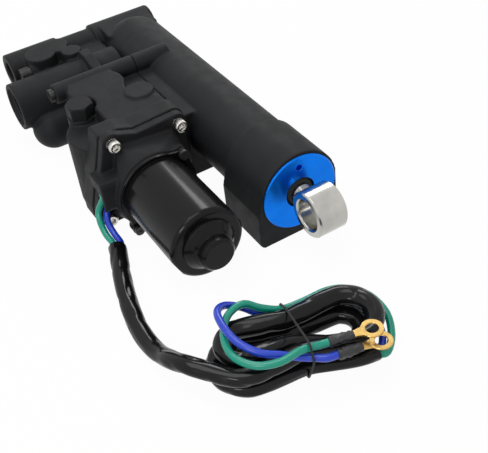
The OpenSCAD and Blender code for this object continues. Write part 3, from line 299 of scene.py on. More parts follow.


# Its lighter edge colour is a painted highlight along the casting's edges.
BLACK_CASTING = Finish("black_casting", "casting", (0.0125, 0.013, 0.014), (0.0155, 0.016, 0.0175),
                       rough=(0.5, 0.62), grain=0.7, grain_depth=0.04, edge=1.4,
                       edge_highlight=(0.04, 0.042, 0.046), edge_highlight_share=0.4, specular=0.13)
GLOSS_CAN = Finish("gloss_can", "can", (0.0045, 0.0045, 0.005), (0.006, 0.006, 0.0068),
                   rough=(0.22, 0.27), patch=60.0, grain=3.0, grain_depth=0.002, edge=0.8,
                   coat=0.14, coat_rough=0.1, specular=0.1)
# Its lighter blue edge colour is a painted highlight along the cap's rims.
BLUE_ANODISED = Finish("blue_anodised", "blue_cap", (0.0, 0.19, 0.84), (0.0, 0.17, 0.77),
                       metal=0.88, rough=(0.26, 0.34), patch=16.0, grain=0.6, grain_depth=0.0006,
                       marks=Marks.TURNED_X, mark_size=0.8, mark_depth=0.0015, edge=0.5,
                       edge_highlight=(0.2, 0.42, 0.85), edge_highlight_share=0.3, specular=0.2)
POLISHED_EYE = Finish("polished_eye", "stainless", (0.52, 0.51, 0.48), (0.44, 0.43, 0.4),
                      metal=1.0, rough=(0.16, 0.24), patch=14.0, grain=0.6, grain_depth=0.0006,
                      marks=Marks.TURNED_Y, mark_size=0.9, mark_depth=0.0008,
                      centre=(26.5, 0.0, 0.0), edge=0.6)
BRIGHT_SCREW = Finish("bright_screw", "stainless", (0.74, 0.72, 0.68), (0.6, 0.58, 0.54),
                      metal=1.0, rough=(0.16, 0.3), patch=5.0, grain=0.2, grain_depth=0.004,
                      edge=0.25)
GROUND_ROD = Finish("ground_rod", "steel", (0.3, 0.3, 0.31), (0.22, 0.22, 0.23), metal=1.0,
                    rough=(0.2, 0.34), patch=8.0, grain=0.25, grain_depth=0.003,
                    marks=Marks.TURNED_X, mark_size=0.4, mark_depth=0.004, edge=0.3)
MACHINED_STEEL = Finish("machined_steel", "steel", (0.42, 0.42, 0.43), (0.34, 0.34, 0.35),
                        metal=1.0, rough=(0.3, 0.42), patch=10.0, grain=0.3, grain_depth=0.006,
                        marks=Marks.TURNED_X, mark_size=0.5, mark_depth=0.006, edge=0.3)
# Its grey edge colour is a painted highlight along the edges of screws, plugs and threads.
BLACK_OXIDE = Finish("black_oxide", "black_steel", (0.02, 0.02, 0.022), (0.032, 0.031, 0.03),
                     metal=0.4, rough=(0.3, 0.42), patch=6.0, grain=0.35, grain_depth=0.008,
                     edge=0.3, edge_highlight=(0.16, 0.16, 0.165), edge_highlight_share=0.7)
BLACK_RUBBER = Finish("black_rubber", "black_rubber", (0.014, 0.014, 0.014), (0.02, 0.02, 0.021),
                      rough=(0.5, 0.66), patch=8.0, grain=0.4, grain_depth=0.02, edge=0.4)
SHRUNK_BOOT = Finish("shrunk_boot", "black_rubber", (0.016, 0.016, 0.018), (0.024, 0.024, 0.027),
                     rough=(0.34, 0.5), patch=4.0, grain=0.5, grain_depth=0.03,
                     marks=Marks.CREASES, mark_size=2.5, mark_depth=0.35, edge=0.3)
BLACK_SLEEVE = Finish("black_sleeve", "sleeve", (0.004, 0.004, 0.0045), (0.006, 0.006, 0.0066),
                      rough=(0.18, 0.28), patch=24.0, grain=1.6, grain_depth=0.006,
                      marks=Marks.CREASES, mark_size=20.0, mark_depth=0.12, edge=0.3, coat=0.26,
                      coat_rough=0.1, specular=0.1)
GREEN_WIRE = Finish("green_wire", "green_wire", (0.0, 0.26, 0.185), (0.0, 0.29, 0.205),
                    rough=(0.36, 0.46), patch=14.0, grain=0.8, grain_depth=0.01, edge=0.3,
                    specular=0.09)
BLUE_WIRE = Finish("blue_wire", "blue_wire", (0.002, 0.04, 0.56), (0.003, 0.048, 0.62),
                   rough=(0.36, 0.46), patch=14.0, grain=0.8, grain_depth=0.01, edge=0.3,
                   specular=0.09)
BRIGHT_BRASS = Finish("bright_brass", "brass", (0.62, 0.42, 0.15), (0.52, 0.34, 0.11), metal=1.0,
                      rough=(0.24, 0.36), patch=5.0, grain=0.3, grain_depth=0.005, edge=0.3)
ENAMELLED_COPPER = Finish("enamelled_copper", "copper", (0.5, 0.2, 0.08), (0.42, 0.15, 0.05),
                          metal=1.0, rough=(0.26, 0.4), patch=3.0, grain=0.4, grain_depth=0.01,
                          marks=Marks.WOUND, mark_size=0.7, mark_depth=0.15,
                          centre=(-37.0, -79.0, -9.0), edge=0.3)
BROWN_LAMINATE = Finish("brown_laminate", "resin", (0.18, 0.09, 0.035), (0.14, 0.065, 0.025),
                        rough=(0.42, 0.55), patch=6.0, grain=0.5, grain_depth=0.015, edge=0.3)
DARK_FERRITE = Finish("dark_ferrite", "magnet", (0.05, 0.05, 0.055), (0.065, 0.065, 0.07),
                      metal=0.3, rough=(0.5, 0.65), patch=5.0, grain=0.4, grain_depth=0.02,
                      edge=0.3)

NODE_FINISHES: dict[Finish, tuple[str, ...]] = {
    BLACK_CASTING: ("cylinder_body", "pump_body", "motor_housing", "fill_plug"),
    GLOSS_CAN: ("motor_can",),
    BLUE_ANODISED: ("end_screw",),
    POLISHED_EYE: ("rod_eye",),
    BRIGHT_SCREW: ("flange_screws", "flange_lock_washers", "shock_valve_balls", "up_check_valve",
                   "down_check_valve", "rear_bearing", "front_bearing", "brush_springs"),
    GROUND_ROD: ("tilt_rod", "armature_shaft"),
    MACHINED_STEEL: ("piston", "piston_nut", "free_piston", "gear_pump_body", "gear_pump_cover",
                     "drive_gear", "driven_gear", "pump_screws", "shaft_coupler", "shuttle_spool",
                     "spool_plug", "check_plugs", "armature_core"),
    BLACK_OXIDE: ("manual_valve", "gallery_plug", "can_screws", "pump_bolts"),
    BLACK_RUBBER: ("end_screw_o_ring", "rod_wiper", "rod_seal", "piston_ring",
                   "free_piston_o_ring", "fill_plug_o_ring", "transfer_o_ring",
                   "manual_valve_o_ring", "shaft_seal", "can_seal", "cable_grommet"),
    BRIGHT_BRASS: ("filter_screen",),
    ENAMELLED_COPPER: ("armature_windings", "commutator"),
    BROWN_LAMINATE: ("brush_plate",),
    DARK_FERRITE: ("motor_magnets", "brushes"),
}


class Maker:
    """Turns point lists into pieces of the part that ride on a body."""

    @staticmethod
    def piece(name: str, points: Iterable[Vector], faces: Iterable[Sequence[int]], finish: Finish,
              body: str = "casing", smooth: float = 0.7) -> bpy.types.Object:
        """Makes one mesh piece.

        Args:
            name: The piece's name.
            points: Its points in metres.
            faces: Its faces as runs of point numbers.
            finish: What it is finished in.
            body: The body that it rides on.
            smooth: The angle in radians up to which its faces shade as one surface.

        Returns:
            The new object.
        """
        mesh = bpy.data.meshes.new(name)
        mesh.from_pydata([tuple(p) for p in points], [], [tuple(f) for f in faces])
        return Maker.dress(name, mesh, finish, body, smooth)

    @staticmethod
    def dress(name: str, mesh: bpy.types.Mesh, finish: Finish, body: str = "casing",
              smooth: float = 0.7) -> bpy.types.Object:
        """Cleans a mesh, and gives it its finish and its body.

        Args:
            name: The piece's name.
            mesh: Its mesh in metres.
            finish: What it is finished in.
            body: The body that it rides on.
            smooth: The angle in radians up to which its faces shade as one surface.

        Returns:
            The new object.
        """
        work = bmesh.new()
        work.from_mesh(mesh)
        bmesh.ops.remove_doubles(work, verts=work.verts, dist=1e-7)
        bmesh.ops.recalc_face_normals(work, faces=work.faces)
        for edge in work.edges:
            edge.smooth = len(edge.link_faces) != 2 or edge.calc_face_angle(0.0) < smooth
        for face in work.faces:
            face.smooth = True
        work.to_mesh(mesh)
        work.free()
        made = bpy.data.objects.new(name, mesh)
        bpy.context.scene.collection.objects.link(made)
        mesh.materials.clear()
        mesh.materials.append(finish.material())
        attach(made, body)
        log.info("%s: %d faces on %s", name, len(mesh.polygons), body)
        return made

    @staticmethod
    def turned(profile: Sequence[tuple[float, float]], place: Callable[[float, float, float], Vector],
               sides: int) -> Shape:
        """Turns a profile round an axis and caps its ends.

        Args:
            profile: Lengths along the axis and radii, in order, in millimetres.
            place: Turns length, radius and angle into a point.
            sides: How many sides the turned shape has.

        Returns:
            Its points and faces.
        """
        points = [place(along, radius, 2 * math.pi * k / sides)
                  for along, radius in profile for k in range(sides)]
        return points, skin_faces(len(profile), sides)


@dataclass
class Studio:
    """Camera, lamps, pale floor and white surroundings; each lamp has a name, place, side and watts."""

    eye: Point = (0.7214, -0.2216, 0.3989)
    ahead: Point = (-0.6713, 0.343, -0.657)
    up: Point = (-0.5247, 0.4061, 0.7482)
    lens: float = 64.25
    sensor: float = 36.0
    fill: float = 0.42
    floor_side: float = 3.0
    floor_gap: float = 0.0002
    floor_tone: float = 0.88
    floor_rough: float = 0.9
    floor_glow: float = 0.96
    target: Point = (0.22, -0.02, 0.0)
    lamps: tuple[tuple[str, Point, float, float], ...] = (
        ("lamp_over", (0.1, -0.25, 1.3), 0.9, 8.0),
        ("lamp_side", (0.9, -0.9, 0.7), 0.3, 3.0),
        ("lamp_back", (-0.6, 0.6, 0.8), 0.35, 3.0))

    def camera(self) -> None:
        """Sets the camera at the photograph's viewing angle, and shows colours as they are."""
        data = bpy.data.cameras.new("photo_camera")
        data.lens = self.lens
        data.sensor_width = self.sensor
        data.clip_start = 0.01
        camera = bpy.data.objects.new("photo_camera", data)
        bpy.context.scene.collection.objects.link(camera)
        ahead = Vector(self.ahead).normalized()
        right = ahead.cross(Vector(self.up)).normalized()
        turn = Matrix((right, right.cross(ahead), -ahead)).transposed().to_4x4()
        turn.translation = Vector(self.eye)
        camera.matrix_world = turn
        bpy.context.scene.camera = camera
        bpy.context.scene.view_settings.view_transform = "Standard"
        log.info("camera set")

    def _seen(self, tree: bpy.types.NodeTree) -> bpy.types.NodeSocket:
        """Adds the share of rays that see the surroundings: those of camera, gloss and glass."""
        rays = tree.nodes.new("ShaderNodeLightPath")
        total = rays.outputs["Is Camera Ray"]
        for name in ("Is Glossy Ray", "Is Transmission Ray"):
            larger = tree.nodes.new("ShaderNodeMath")
            larger.operation = "MAXIMUM"
            tree.links.new(total, larger.inputs[0])
            tree.links.new(rays.outputs[name], larger.inputs[1])
            total = larger.outputs["Value"]
        return total

    def _blend(self, tree: bpy.types.NodeTree, share: bpy.types.NodeSocket,
               shaders: Sequence[bpy.types.NodeSocket], output: str) -> None:
        """Blends two shaders by a share, and shows the blend at the tree's output."""
        mix = tree.nodes.new("ShaderNodeMixShader")
        tree.links.new(share, mix.inputs["Fac"])
        for i, shader in enumerate(shaders):
            tree.links.new(shader, mix.inputs[i + 1])
        tree.links.new(mix.outputs["Shader"], tree.nodes[output].inputs["Surface"])

    def surroundings(self) -> None:
        """Makes the world white to the camera and in gloss, and a plain dim fill for the rest."""
        world = bpy.data.worlds.new("white_room")
        bpy.context.scene.world = world
        world.use_nodes = True
        tree = world.node_tree
        fill = tree.nodes["Background"]
        fill.inputs["Color"].default_value = WHITE
        fill.inputs["Strength"].default_value = self.fill
        white = tree.nodes.new("ShaderNodeBackground")
        white.inputs["Color"].default_value = WHITE
        white.inputs["Strength"].default_value = 1.0
        self._blend(tree, self._seen(tree), (fill.outputs["Background"], white.outputs["Background"]),
                    "World Output")

    def floor(self) -> None:
        """Lays the pale floor, which glows white to the camera and still takes the shadow."""
        half = self.floor_side / 2
        z = over_floor((0.0, 0.0, 0.0)).z - self.floor_gap
        mesh = bpy.data.meshes.new("studio_floor")
        mesh.from_pydata([(-half, -half, z), (half, -half, z), (half, half, z), (-half, half, z)],
                         [], [(0, 1, 2, 3)])
        plane = bpy.data.objects.new("studio_floor", mesh)
        bpy.context.scene.collection.objects.link(plane)
        pale = bpy.data.materials.new("pale_floor")
        pale.use_nodes = True
        tree = pale.node_tree
        shader = tree.nodes["Principled BSDF"]
        shader.inputs["Base Color"].default_value = (*[self.floor_tone] * 3, 1.0)
        shader.inputs["Roughness"].default_value = self.floor_rough
        glow = tree.nodes.new("ShaderNodeEmission")
        glow.inputs["Color"].default_value = WHITE
        share = tree.nodes.new("ShaderNodeMath")
        share.operation = "MULTIPLY"
        share.inputs[1].default_value = self.floor_glow
        tree.links.new(self._seen(tree), share.inputs[0])
        self._blend(tree, share.outputs["Value"], (shader.outputs["BSDF"], glow.outputs["Emission"]),
                    "Material Output")
        mesh.materials.append(pale)

    def lamp(self, name: str, place: Point, size: float, watts: float) -> None:
        """Hangs a soft square lamp that looks at the part.

        Args:
            name: The lamp's name.
            place: Where it hangs, in metres.
            size: Its side in metres.
            watts: Its power.
        """
        data = bpy.data.lights.new(name, "AREA")
        data.size = size
        data.energy = watts
        lamp = bpy.data.objects.new(name, data)
        bpy.context.scene.collection.objects.link(lamp)
        lamp.location = place
        look = Vector(self.target) - Vector(place)
        lamp.rotation_euler = look.to_track_quat("-Z", "Y").to_euler()

    def build(self) -> None:
        """Sets up the surroundings, the floor and the lamps."""
        self.surroundings()
        self.floor()
        for lamp in self.lamps:
            self.lamp(*lamp)
        log.info("surroundings, floor and lamps set")


@dataclass
class Hose:
    """A tube swept along a line, flattened and creased by sizes in millimetres."""

    name: str
    line: list[Vector]
    radius: float
    finish: Finish
    sides: int = 16
    wide: float = 1.0
    sway: float = 0.35
    sway_run: float = 60.0
    sway_row: float = 4.7
    crease: float = 0.0
    crease_size: float = 9.0
    crease_round: float = 0.8
    crease_sharp: float = 3.2
    first_side: Point = (0.3, 0.2, 1.0)

    def build(self) -> bpy.types.Object:
        """Sweeps the skin along the line.

        Returns:
            The tube's object.
        """
        points = []
        normal = Vector(self.first_side)
        last = len(self.line) - 1
        run = 0.0
        for i, centre in enumerate(self.line):
            tangent = (self.line[min(i + 1, last)] - self.line[max(i - 1, 0)]).normalized()
            normal = (normal - normal.dot(tangent) * tangent).normalized()
            across = tangent.cross(normal)
            run += (centre - self.line[max(i - 1, 0)]).length / MM
            for k in range(self.sides):
                a = 2 * math.pi * k / self.sides
                out = math.cos(a) * normal + math.sin(a) * across
                reach = self.radius * MM * self._section(a, run)
                points.append(centre + out * reach)
        faces = skin_faces(len(self.line), self.sides)
        return Maker.piece(self.name, points, faces, self.finish, smooth=ROUND_SKIN)

    def _section(self, angle: float, run: float) -> float:
        """Gives the share of the radius at an angle and a run along the tube.

        Args:
            angle: The angle round the tube in radians.
            run: How far along the tube, in millimetres.

        Returns:
            The share, 1 where a round tube's skin isn't pressed in.
        """
        share = 1.0
        if self.wide > 1.0:
            row = Vector((run / self.sway_run, self.sway_row, 0.0))
            turned = angle + self.sway * noise.noise(row)
            high = 2.0 - self.wide
            share = 1.0 / math.hypot(math.cos(turned) / high, math.sin(turned) / self.wide)
        if self.crease:
            spot = Vector((math.cos(angle) * self.crease_round, math.sin(angle) * self.crease_round,
                           run / self.crease_size))
            fold = max(0.0, 1.0 - self.crease_sharp * abs(noise.noise(spot)))
            share -= self.crease / self.radius * fold * fold
        return share


@dataclass
class Hank:
    """The hank of sleeve: just over a turn wound inward on top, and as much outward below it."""

    centre: tuple[float, float] = (98.8, -73.0)
    angle: float = 76.5
    half_length: float = 34.0
    half_width: float = 25.0
    waist: float = 5.0
    step: float = 14.6
    rings: int = 24
    turns: int = 2
    run_rings: int = 4
    lead_in: int = 2
    low: float = 8.4
    high: float = 23.0

    @property
    def last(self) -> int:
        """Number of the last ring."""
        return self.turns * self.rings + self.run_rings

    def out(self, point: Sequence[float]) -> Vector:
        """Turns a point along, across and over the hank's middle into the part's frame."""
        a = math.radians(self.angle)
        u, v, h = point
        return over_floor((self.centre[0] + u * math.cos(a) - v * math.sin(a),
                           self.centre[1] + u * math.sin(a) + v * math.cos(a), h))

    def ring(self, k: int) -> Vector:
        """Gives ring k of the winding, along, across and over the hank's middle.

        Args:
            k: The ring's number; the lead-in rings are below zero.

        Returns:
            Its middle, in millimetres.
        """
        half = self.rings // 2
        back = self.last / 2
        inner = self.half_width - self.step * back / self.rings
        width = inner + self.step * abs(k - back) / self.rings
        share = min(max((k - back) / self.run_rings + 0.5, 0.0), 1.0)
        height = self.high - (self.high - self.low) * share * share * (3 - 2 * share)
        j = (k + self.rings) % self.rings
        side = 1 if j < half else -1
        q = j % half
        f = q / self.run_rings
        if q <= self.run_rings:
            return Vector((side * self.half_length * (2 * f - 1),
                           -side * (width - self.waist * math.sin(math.pi * f) ** 2), height))
        a = math.radians(-90 + (q - self.run_rings) * 180 / (half - self.run_rings))
        return Vector((side * (self.half_length + width * math.cos(a)),
                       side * width * math.sin(a), height))

    def path(self, diameter: float) -> list[Vector]:
        """Gives the winding's middle line with its straight ends, a diameter long."""
        ahead = (self.ring(1 - self.lead_in) - self.ring(-1 - self.lead_in)).normalized()
        start = self.ring(-self.lead_in) - ahead * diameter
        rings = [self.ring(k) for k in range(-self.lead_in, self.last + 1)]
        end = rings[-1] + Vector((diameter, 0.0, 0.0))
        return [start - ahead * diameter, start] + rings + [end]


@dataclass
class LeadTip:
    """The shrunk boot and the ring terminal on a lead's tip, in millimetres."""

    hank: Hank
    tip: Vector
    lead_r: float
    boot_l: float = 17.0
    boot_r: float = 4.0
    boot_step: float = 0.7
    boot_sides: int = 28
    press: float = 0.28
    press_from: float = 8.0
    press_run: float = 9.0
    fold: float = 0.7
    fold_from: float = 0.5
    fold_run: float = 3.2
    fold_round: float = 1.4
    fold_sharp: float = 2.2
    ring_d: float = 15.0
    ring_bore: float = 8.4
    ring_t: float = 1.2
    ring_reach: float = 12.0
    ring_cut: float = 0.25
    ring_sides: int = 72
    neck: tuple[tuple[float, float], ...] = ((-2.5, 2.4), (1.5, 2.7), (5.0, 3.3), (6.8, 4.4))
    neck_inset: float = 0.06

    def boot(self, name: str) -> bpy.types.Object:
        """Shrinks a creased boot over the lead's tip and the terminal's barrel.

        Args:
            name: The piece's name.

        Returns:
            The boot's object.
        """
        profile = [(-0.2, self.lead_r + 0.1), (0.0, self.boot_r - 0.4), (0.8, self.boot_r),
                   (7.5, self.boot_r), (9.5, self.boot_r - 0.3), (13.5, self.boot_r - 0.5),
                   (16.6, self.boot_r - 0.9), (self.boot_l, 1.6)]
        fine = []
        for (a, r), (b, s) in zip(profile, profile[1:]):
            steps = max(1, int((b - a) / self.boot_step))
            fine += [(a + (b - a) * i / steps, r + (s - r) * i / steps) for i in range(steps)]
        fine.append(profile[-1])
        points, faces = Maker.turned(fine, self._boot_point, self.boot_sides)
        return Maker.piece(name, points, faces, SHRUNK_BOOT, smooth=ROUND_SKIN)

    def _boot_point(self, along: float, radius: float, angle: float) -> Vector:
        """Puts a point of the boot's creased skin on the hank, flattened toward the terminal."""
        press = 1.0 - self.press * max(0.0, along - self.press_from) / self.press_run
        spot = Vector((along / self.fold_run, math.cos(angle) * self.fold_round,
                       math.sin(angle) * self.fold_round + self.tip.y))
        fold = max(0.0, 1.0 - abs(noise.noise(spot)) * self.fold_sharp)
        reach = radius - (self.fold * fold if along > self.fold_from else 0.0)
        return self.hank.out(self.tip + Vector((along, reach * math.cos(angle),
                                                reach * math.sin(angle) * press)))

    def terminal(self, name: str) -> bpy.types.Object:
        """Stamps a ring terminal with its neck, which runs in under the boot.

        Args:
            name: The piece's name.

        Returns:
            The terminal's object.
        """
        reach = self.boot_l + self.ring_reach
        outer, inner, half, cut = self.ring_d / 2, self.ring_bore / 2, self.ring_t / 2, self.ring_cut
        rim = ((inner + cut, half), (outer - cut, half), (outer, half - cut), (outer, cut - half),
               (outer - cut, -half), (inner + cut, -half), (inner, cut - half), (inner, half - cut))
        points = []
        for r, h in rim:
            for k in range(self.ring_sides):
                a = 2 * math.pi * k / self.ring_sides
                points.append(self.hank.out(self.tip + Vector((reach + r * math.cos(a),
                                                               r * math.sin(a), h))))
        faces = skin_faces(len(rim), self.ring_sides, closed=True)
        faces += skin_faces(len(self.neck), 4, start=len(points))
        flat = half - self.neck_inset
        for u, w in self.neck:
            for v, h in ((-w, -flat), (w, -flat), (w, flat), (-w, flat)):
                points.append(self.hank.out(self.tip + Vector((self.boot_l + u, v, h))))
        return Maker.piece(name, points, faces, BRIGHT_BRASS)


@dataclass
class Harness:
    """The leads, the sleeve with its hank, the lead ends with their tips, and the tie."""

    hank: Hank = field(default_factory=Hank)
    lead_d: float = 5.2
    sleeve_d: float = 13.0
    tie_t: float = 1.6
    tie_gap: float = 0.05
    tie_near: float = 8.0
    tie_half: int = 24
    tie_step: float = 2.0
    tie_sides: int = 10
    tie_sway: float = 0.5
    tie_sway_run: float = 9.0
    tie_sway_row: float = 2.1
    green_lead: tuple[Point, ...] = (
        (-93.2, -119.2, 37.6), (-93.2, -119.2, 32.4), (-94, -122, 27), (-93.4, -125.6, 21),
        (-88, -127.6, 14.5), (-79.5, -128, 9), (-70, -127.2, 6.5), (-65.1, -129, 6.5))
    blue_lead: tuple[Point, ...] = (
        (-93.2, -113.6, 37.6), (-93.2, -113.6, 32.4), (-93, -116.6, 26), (-91, -120, 19.5),
        (-85.5, -122.4, 13.5), (-77, -122.2, 8.5), (-68, -121.8, 6.5), (-63.1, -123.6, 6.5))
    sleeve: tuple[Point, ...] = (
        (-64.1, -126.3, 6.5), (-51.9, -130.7, 6.5), (-32, -137.5, 6.5), (-10, -144, 6.5),
        (12, -148.8, 6.5), (33, -150.8, 6.5), (52, -150, 9.5), (69, -148, 18))
    green_end: tuple[Point, ...] = (
        (47, -27.8, 8.4), (53, -28.2, 8.6), (60.5, -18, 11), (64.5, -2, 14), (60, 15, 16.5),
        (49, 26, 17.5), (35, 29.5, 18), (16.5, 26, 18.5), (0, 23.5, 20), (-14, 24.5, 26),
        (-25, 26, 33), (-36, 21, 34), (-43, 11, 34), (-46.5, -4, 34), (-44, -17, 34),
        (-34, -27.5, 34.2), (-20, -31.5, 35.8), (-6, -29.5, 37.8), (7, -28, 35.5), (13, -28, 35.5))
    blue_end: tuple[Point, ...] = (
        (47, -22.2, 8.4), (52, -21.6, 8.4), (57, -10, 8.4), (57.5, 6, 8.8), (53, 19, 9.5),
        (45, 26.5, 10.5), (31, 28.5, 11.5), (16.5, 25.5, 12.5), (0, 22.5, 13.5), (-14, 25, 19),
        (-25.5, 30, 26), (-37, 29, 33.6), (-44, 21, 38.4), (-44.5, 7, 39.8), (-40, -9, 39),
        (-29.5, -20, 36), (-17.5, -24.8, 33.8), (-7, -28.6, 31.2), (2, -32.4, 30.6),
        (9, -35.4, 30.6), (16, -35.4, 30.6))

    def _lay(self, name: str, line: list[Vector], diameter: float, finish: Finish, nodes: Sequence[str],
             far_end: str, lay: str, steps: int, pieces: Sequence[bpy.types.Object] = (),
             **skin: float) -> None:
        """Args:
            name: The piece's name.
            line: The route's middle line.
            diameter: Its diameter in millimetres.
            finish: What it is finished in.
            nodes: The CAD nodes that it takes the place of.
            far_end: What its far end is; not used.
            lay: How it lies; not used.
            steps: How many rings each stretch of the line gets.
            pieces: The pieces on it; not used.
            skin: The skin's sides, width and creases.
        """
        fine = smooth_line(line, steps)
        cord = Hose(name, fine, diameter / 2, finish, **skin).build()
        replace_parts(cord, *nodes)
        line_length(fine)
        log.info("%s: %.0f mm long", name, line_length(fine) / MM)

    def leads(self) -> None:
        """Runs the two leads from the grommet into the sleeve's mouth."""
        for name, route, finish in (("lead_green", self.green_lead, GREEN_WIRE),
                                    ("lead_blue", self.blue_lead, BLUE_WIRE)):
            line = [over_floor(p) for p in route]
            self._lay(f"{name}_wire", line, self.lead_d, finish, [name], "object", "hanging",
                      steps=4)

    def sleeving(self) -> None:
        """Runs the sleeve along the floor and winds its hank."""
        winding = [self.hank.out(p) for p in self.hank.path(self.sleeve_d)]
        line = [over_floor(p) for p in self.sleeve] + winding
        self._lay("harness_sleeving", line, self.sleeve_d, BLACK_SLEEVE,
                  ["harness_sleeve", "harness_hank"], "bare", "coiled", steps=6, sides=32,
                  wide=1.1, crease=0.8, crease_size=26.0)

    def ends(self) -> None:
        """Runs the two lead ends round the hank, each with its boot and ring terminal."""
        for colour, route, finish in (("green", self.green_end, GREEN_WIRE),
                                      ("blue", self.blue_end, BLUE_WIRE)):
            tip = LeadTip(self.hank, Vector(route[-1]), self.lead_d / 2)
            boot = tip.boot(f"boot_{colour}")
            ring = tip.terminal(f"terminal_{colour}")
            line = [self.hank.out(p) for p in route]
            self._lay(f"tail_{colour}_wire", line, self.lead_d, finish, [f"tail_{colour}"],
                      "connector", "coiled", pieces=(boot, ring), steps=4)
            if colour == "green":
                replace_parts(boot, "terminal_boots")
                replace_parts(ring, "ring_terminals")

    def _strands(self) -> list[Point]:
        """Lists the strands at the hank's waist by place across, height and radius."""
        middle = self.hank.run_rings / 2
        strands = []
        for k in (middle, self.hank.rings / 2 + middle, self.hank.rings * 1.5 + middle,
                  self.hank.last - middle):
            ring = self.hank.ring(int(k))
            strands.append((ring.y, ring.z, self.sleeve_d / 2))
        for route in (self.green_end, self.blue_end):
            strands += [(p[1], p[2], self.lead_d / 2) for p in route if abs(p[0]) < self.tie_near]
        return strands

    def _loop(self) -> list[Vector]:
        """Stretches a loop tight round the strands, as flat points across and up."""
        spots = []
        for y, z, r in self._strands():
            reach = r + self.tie_gap + self.tie_t / 2
            for k in range(2 * self.tie_half):
                a = k * math.pi / self.tie_half
                spots.append(Vector((y + reach * math.cos(a), z + reach * math.sin(a))))
        corners = [spots[i] for i in geometry.convex_hull_2d(spots)]
        loop = []
        for p, q in zip(corners, corners[1:] + corners[:1]):
            steps = max(1, int((q - p).length / self.tie_step))
            loop += [p + (q - p) * (i / steps) for i in range(steps)]
        return loop

    def tie(self) -> None:
        """Bends a thin tie round the hank's waist."""
        wire = self.tie_t / 2 - self.tie_gap
        loop = self._loop()
        points = []
        for i, p in enumerate(loop):
            ahead = (loop[(i + 1) % len(loop)] - loop[i - 1]).normalized()
            out = Vector((ahead.y, -ahead.x))
            row = Vector((i / self.tie_sway_run, self.tie_sway_row, 0.0))
            sway = self.tie_sway * noise.noise(row)
            for k in range(self.tie_sides):
                a = 2 * math.pi * k / self.tie_sides
                side = wire * math.cos(a)
                points.append(self.hank.out((sway + wire * math.sin(a), p.x + out.x * side,
                                             p.y + out.y * side)))
        faces = skin_faces(len(loop), self.tie_sides, closed=True)
        made = Maker.piece("hank_tie_wire", points, faces, BLACK_RUBBER, smooth=ROUND_SKIN)
        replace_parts(made, "hank_tie")

    def build(self) -> None:
        """Lays the whole harness."""
        self.leads()
        self.sleeving()
        self.ends()
        self.tie()


@dataclass
class Castings:
    """The black castings, their edges and corners rounded as a sand casting's are."""

    voxel: float = 0.9
    rounds: int = 3
    nodes: tuple[str, ...] = ("cylinder_body", "pump_body", "motor_housing")

    def round_off(self, node: str) -> None:
        """Makes a casting's piece from its CAD node, with its edges and corners rounded off."""
        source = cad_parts[node]
        work = bpy.data.objects.new(f"{node}_work", source.data.copy())
        bpy.context.scene.collection.objects.link(work)
        remesh = work.modifiers.new("remesh", "REMESH")
        remesh.mode = "VOXEL"
        remesh.voxel_size = self.voxel * MM
        soften = work.modifiers.new("soften", "SMOOTH")
        soften.factor = 0.5
        soften.iterations = self.rounds
        graph = bpy.context.evaluated_depsgraph_get()
        mesh = bpy.data.meshes.new_from_object(work.evaluated_get(graph))
        bpy.data.objects.remove(work)
        made = Maker.dress(f"{node}_casting", mesh, BLACK_CASTING, smooth=3.2)
        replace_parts(made, node)

    def build(self) -> None:
        """Rounds off each casting."""
        for node in self.nodes:
            self.round_off(node)


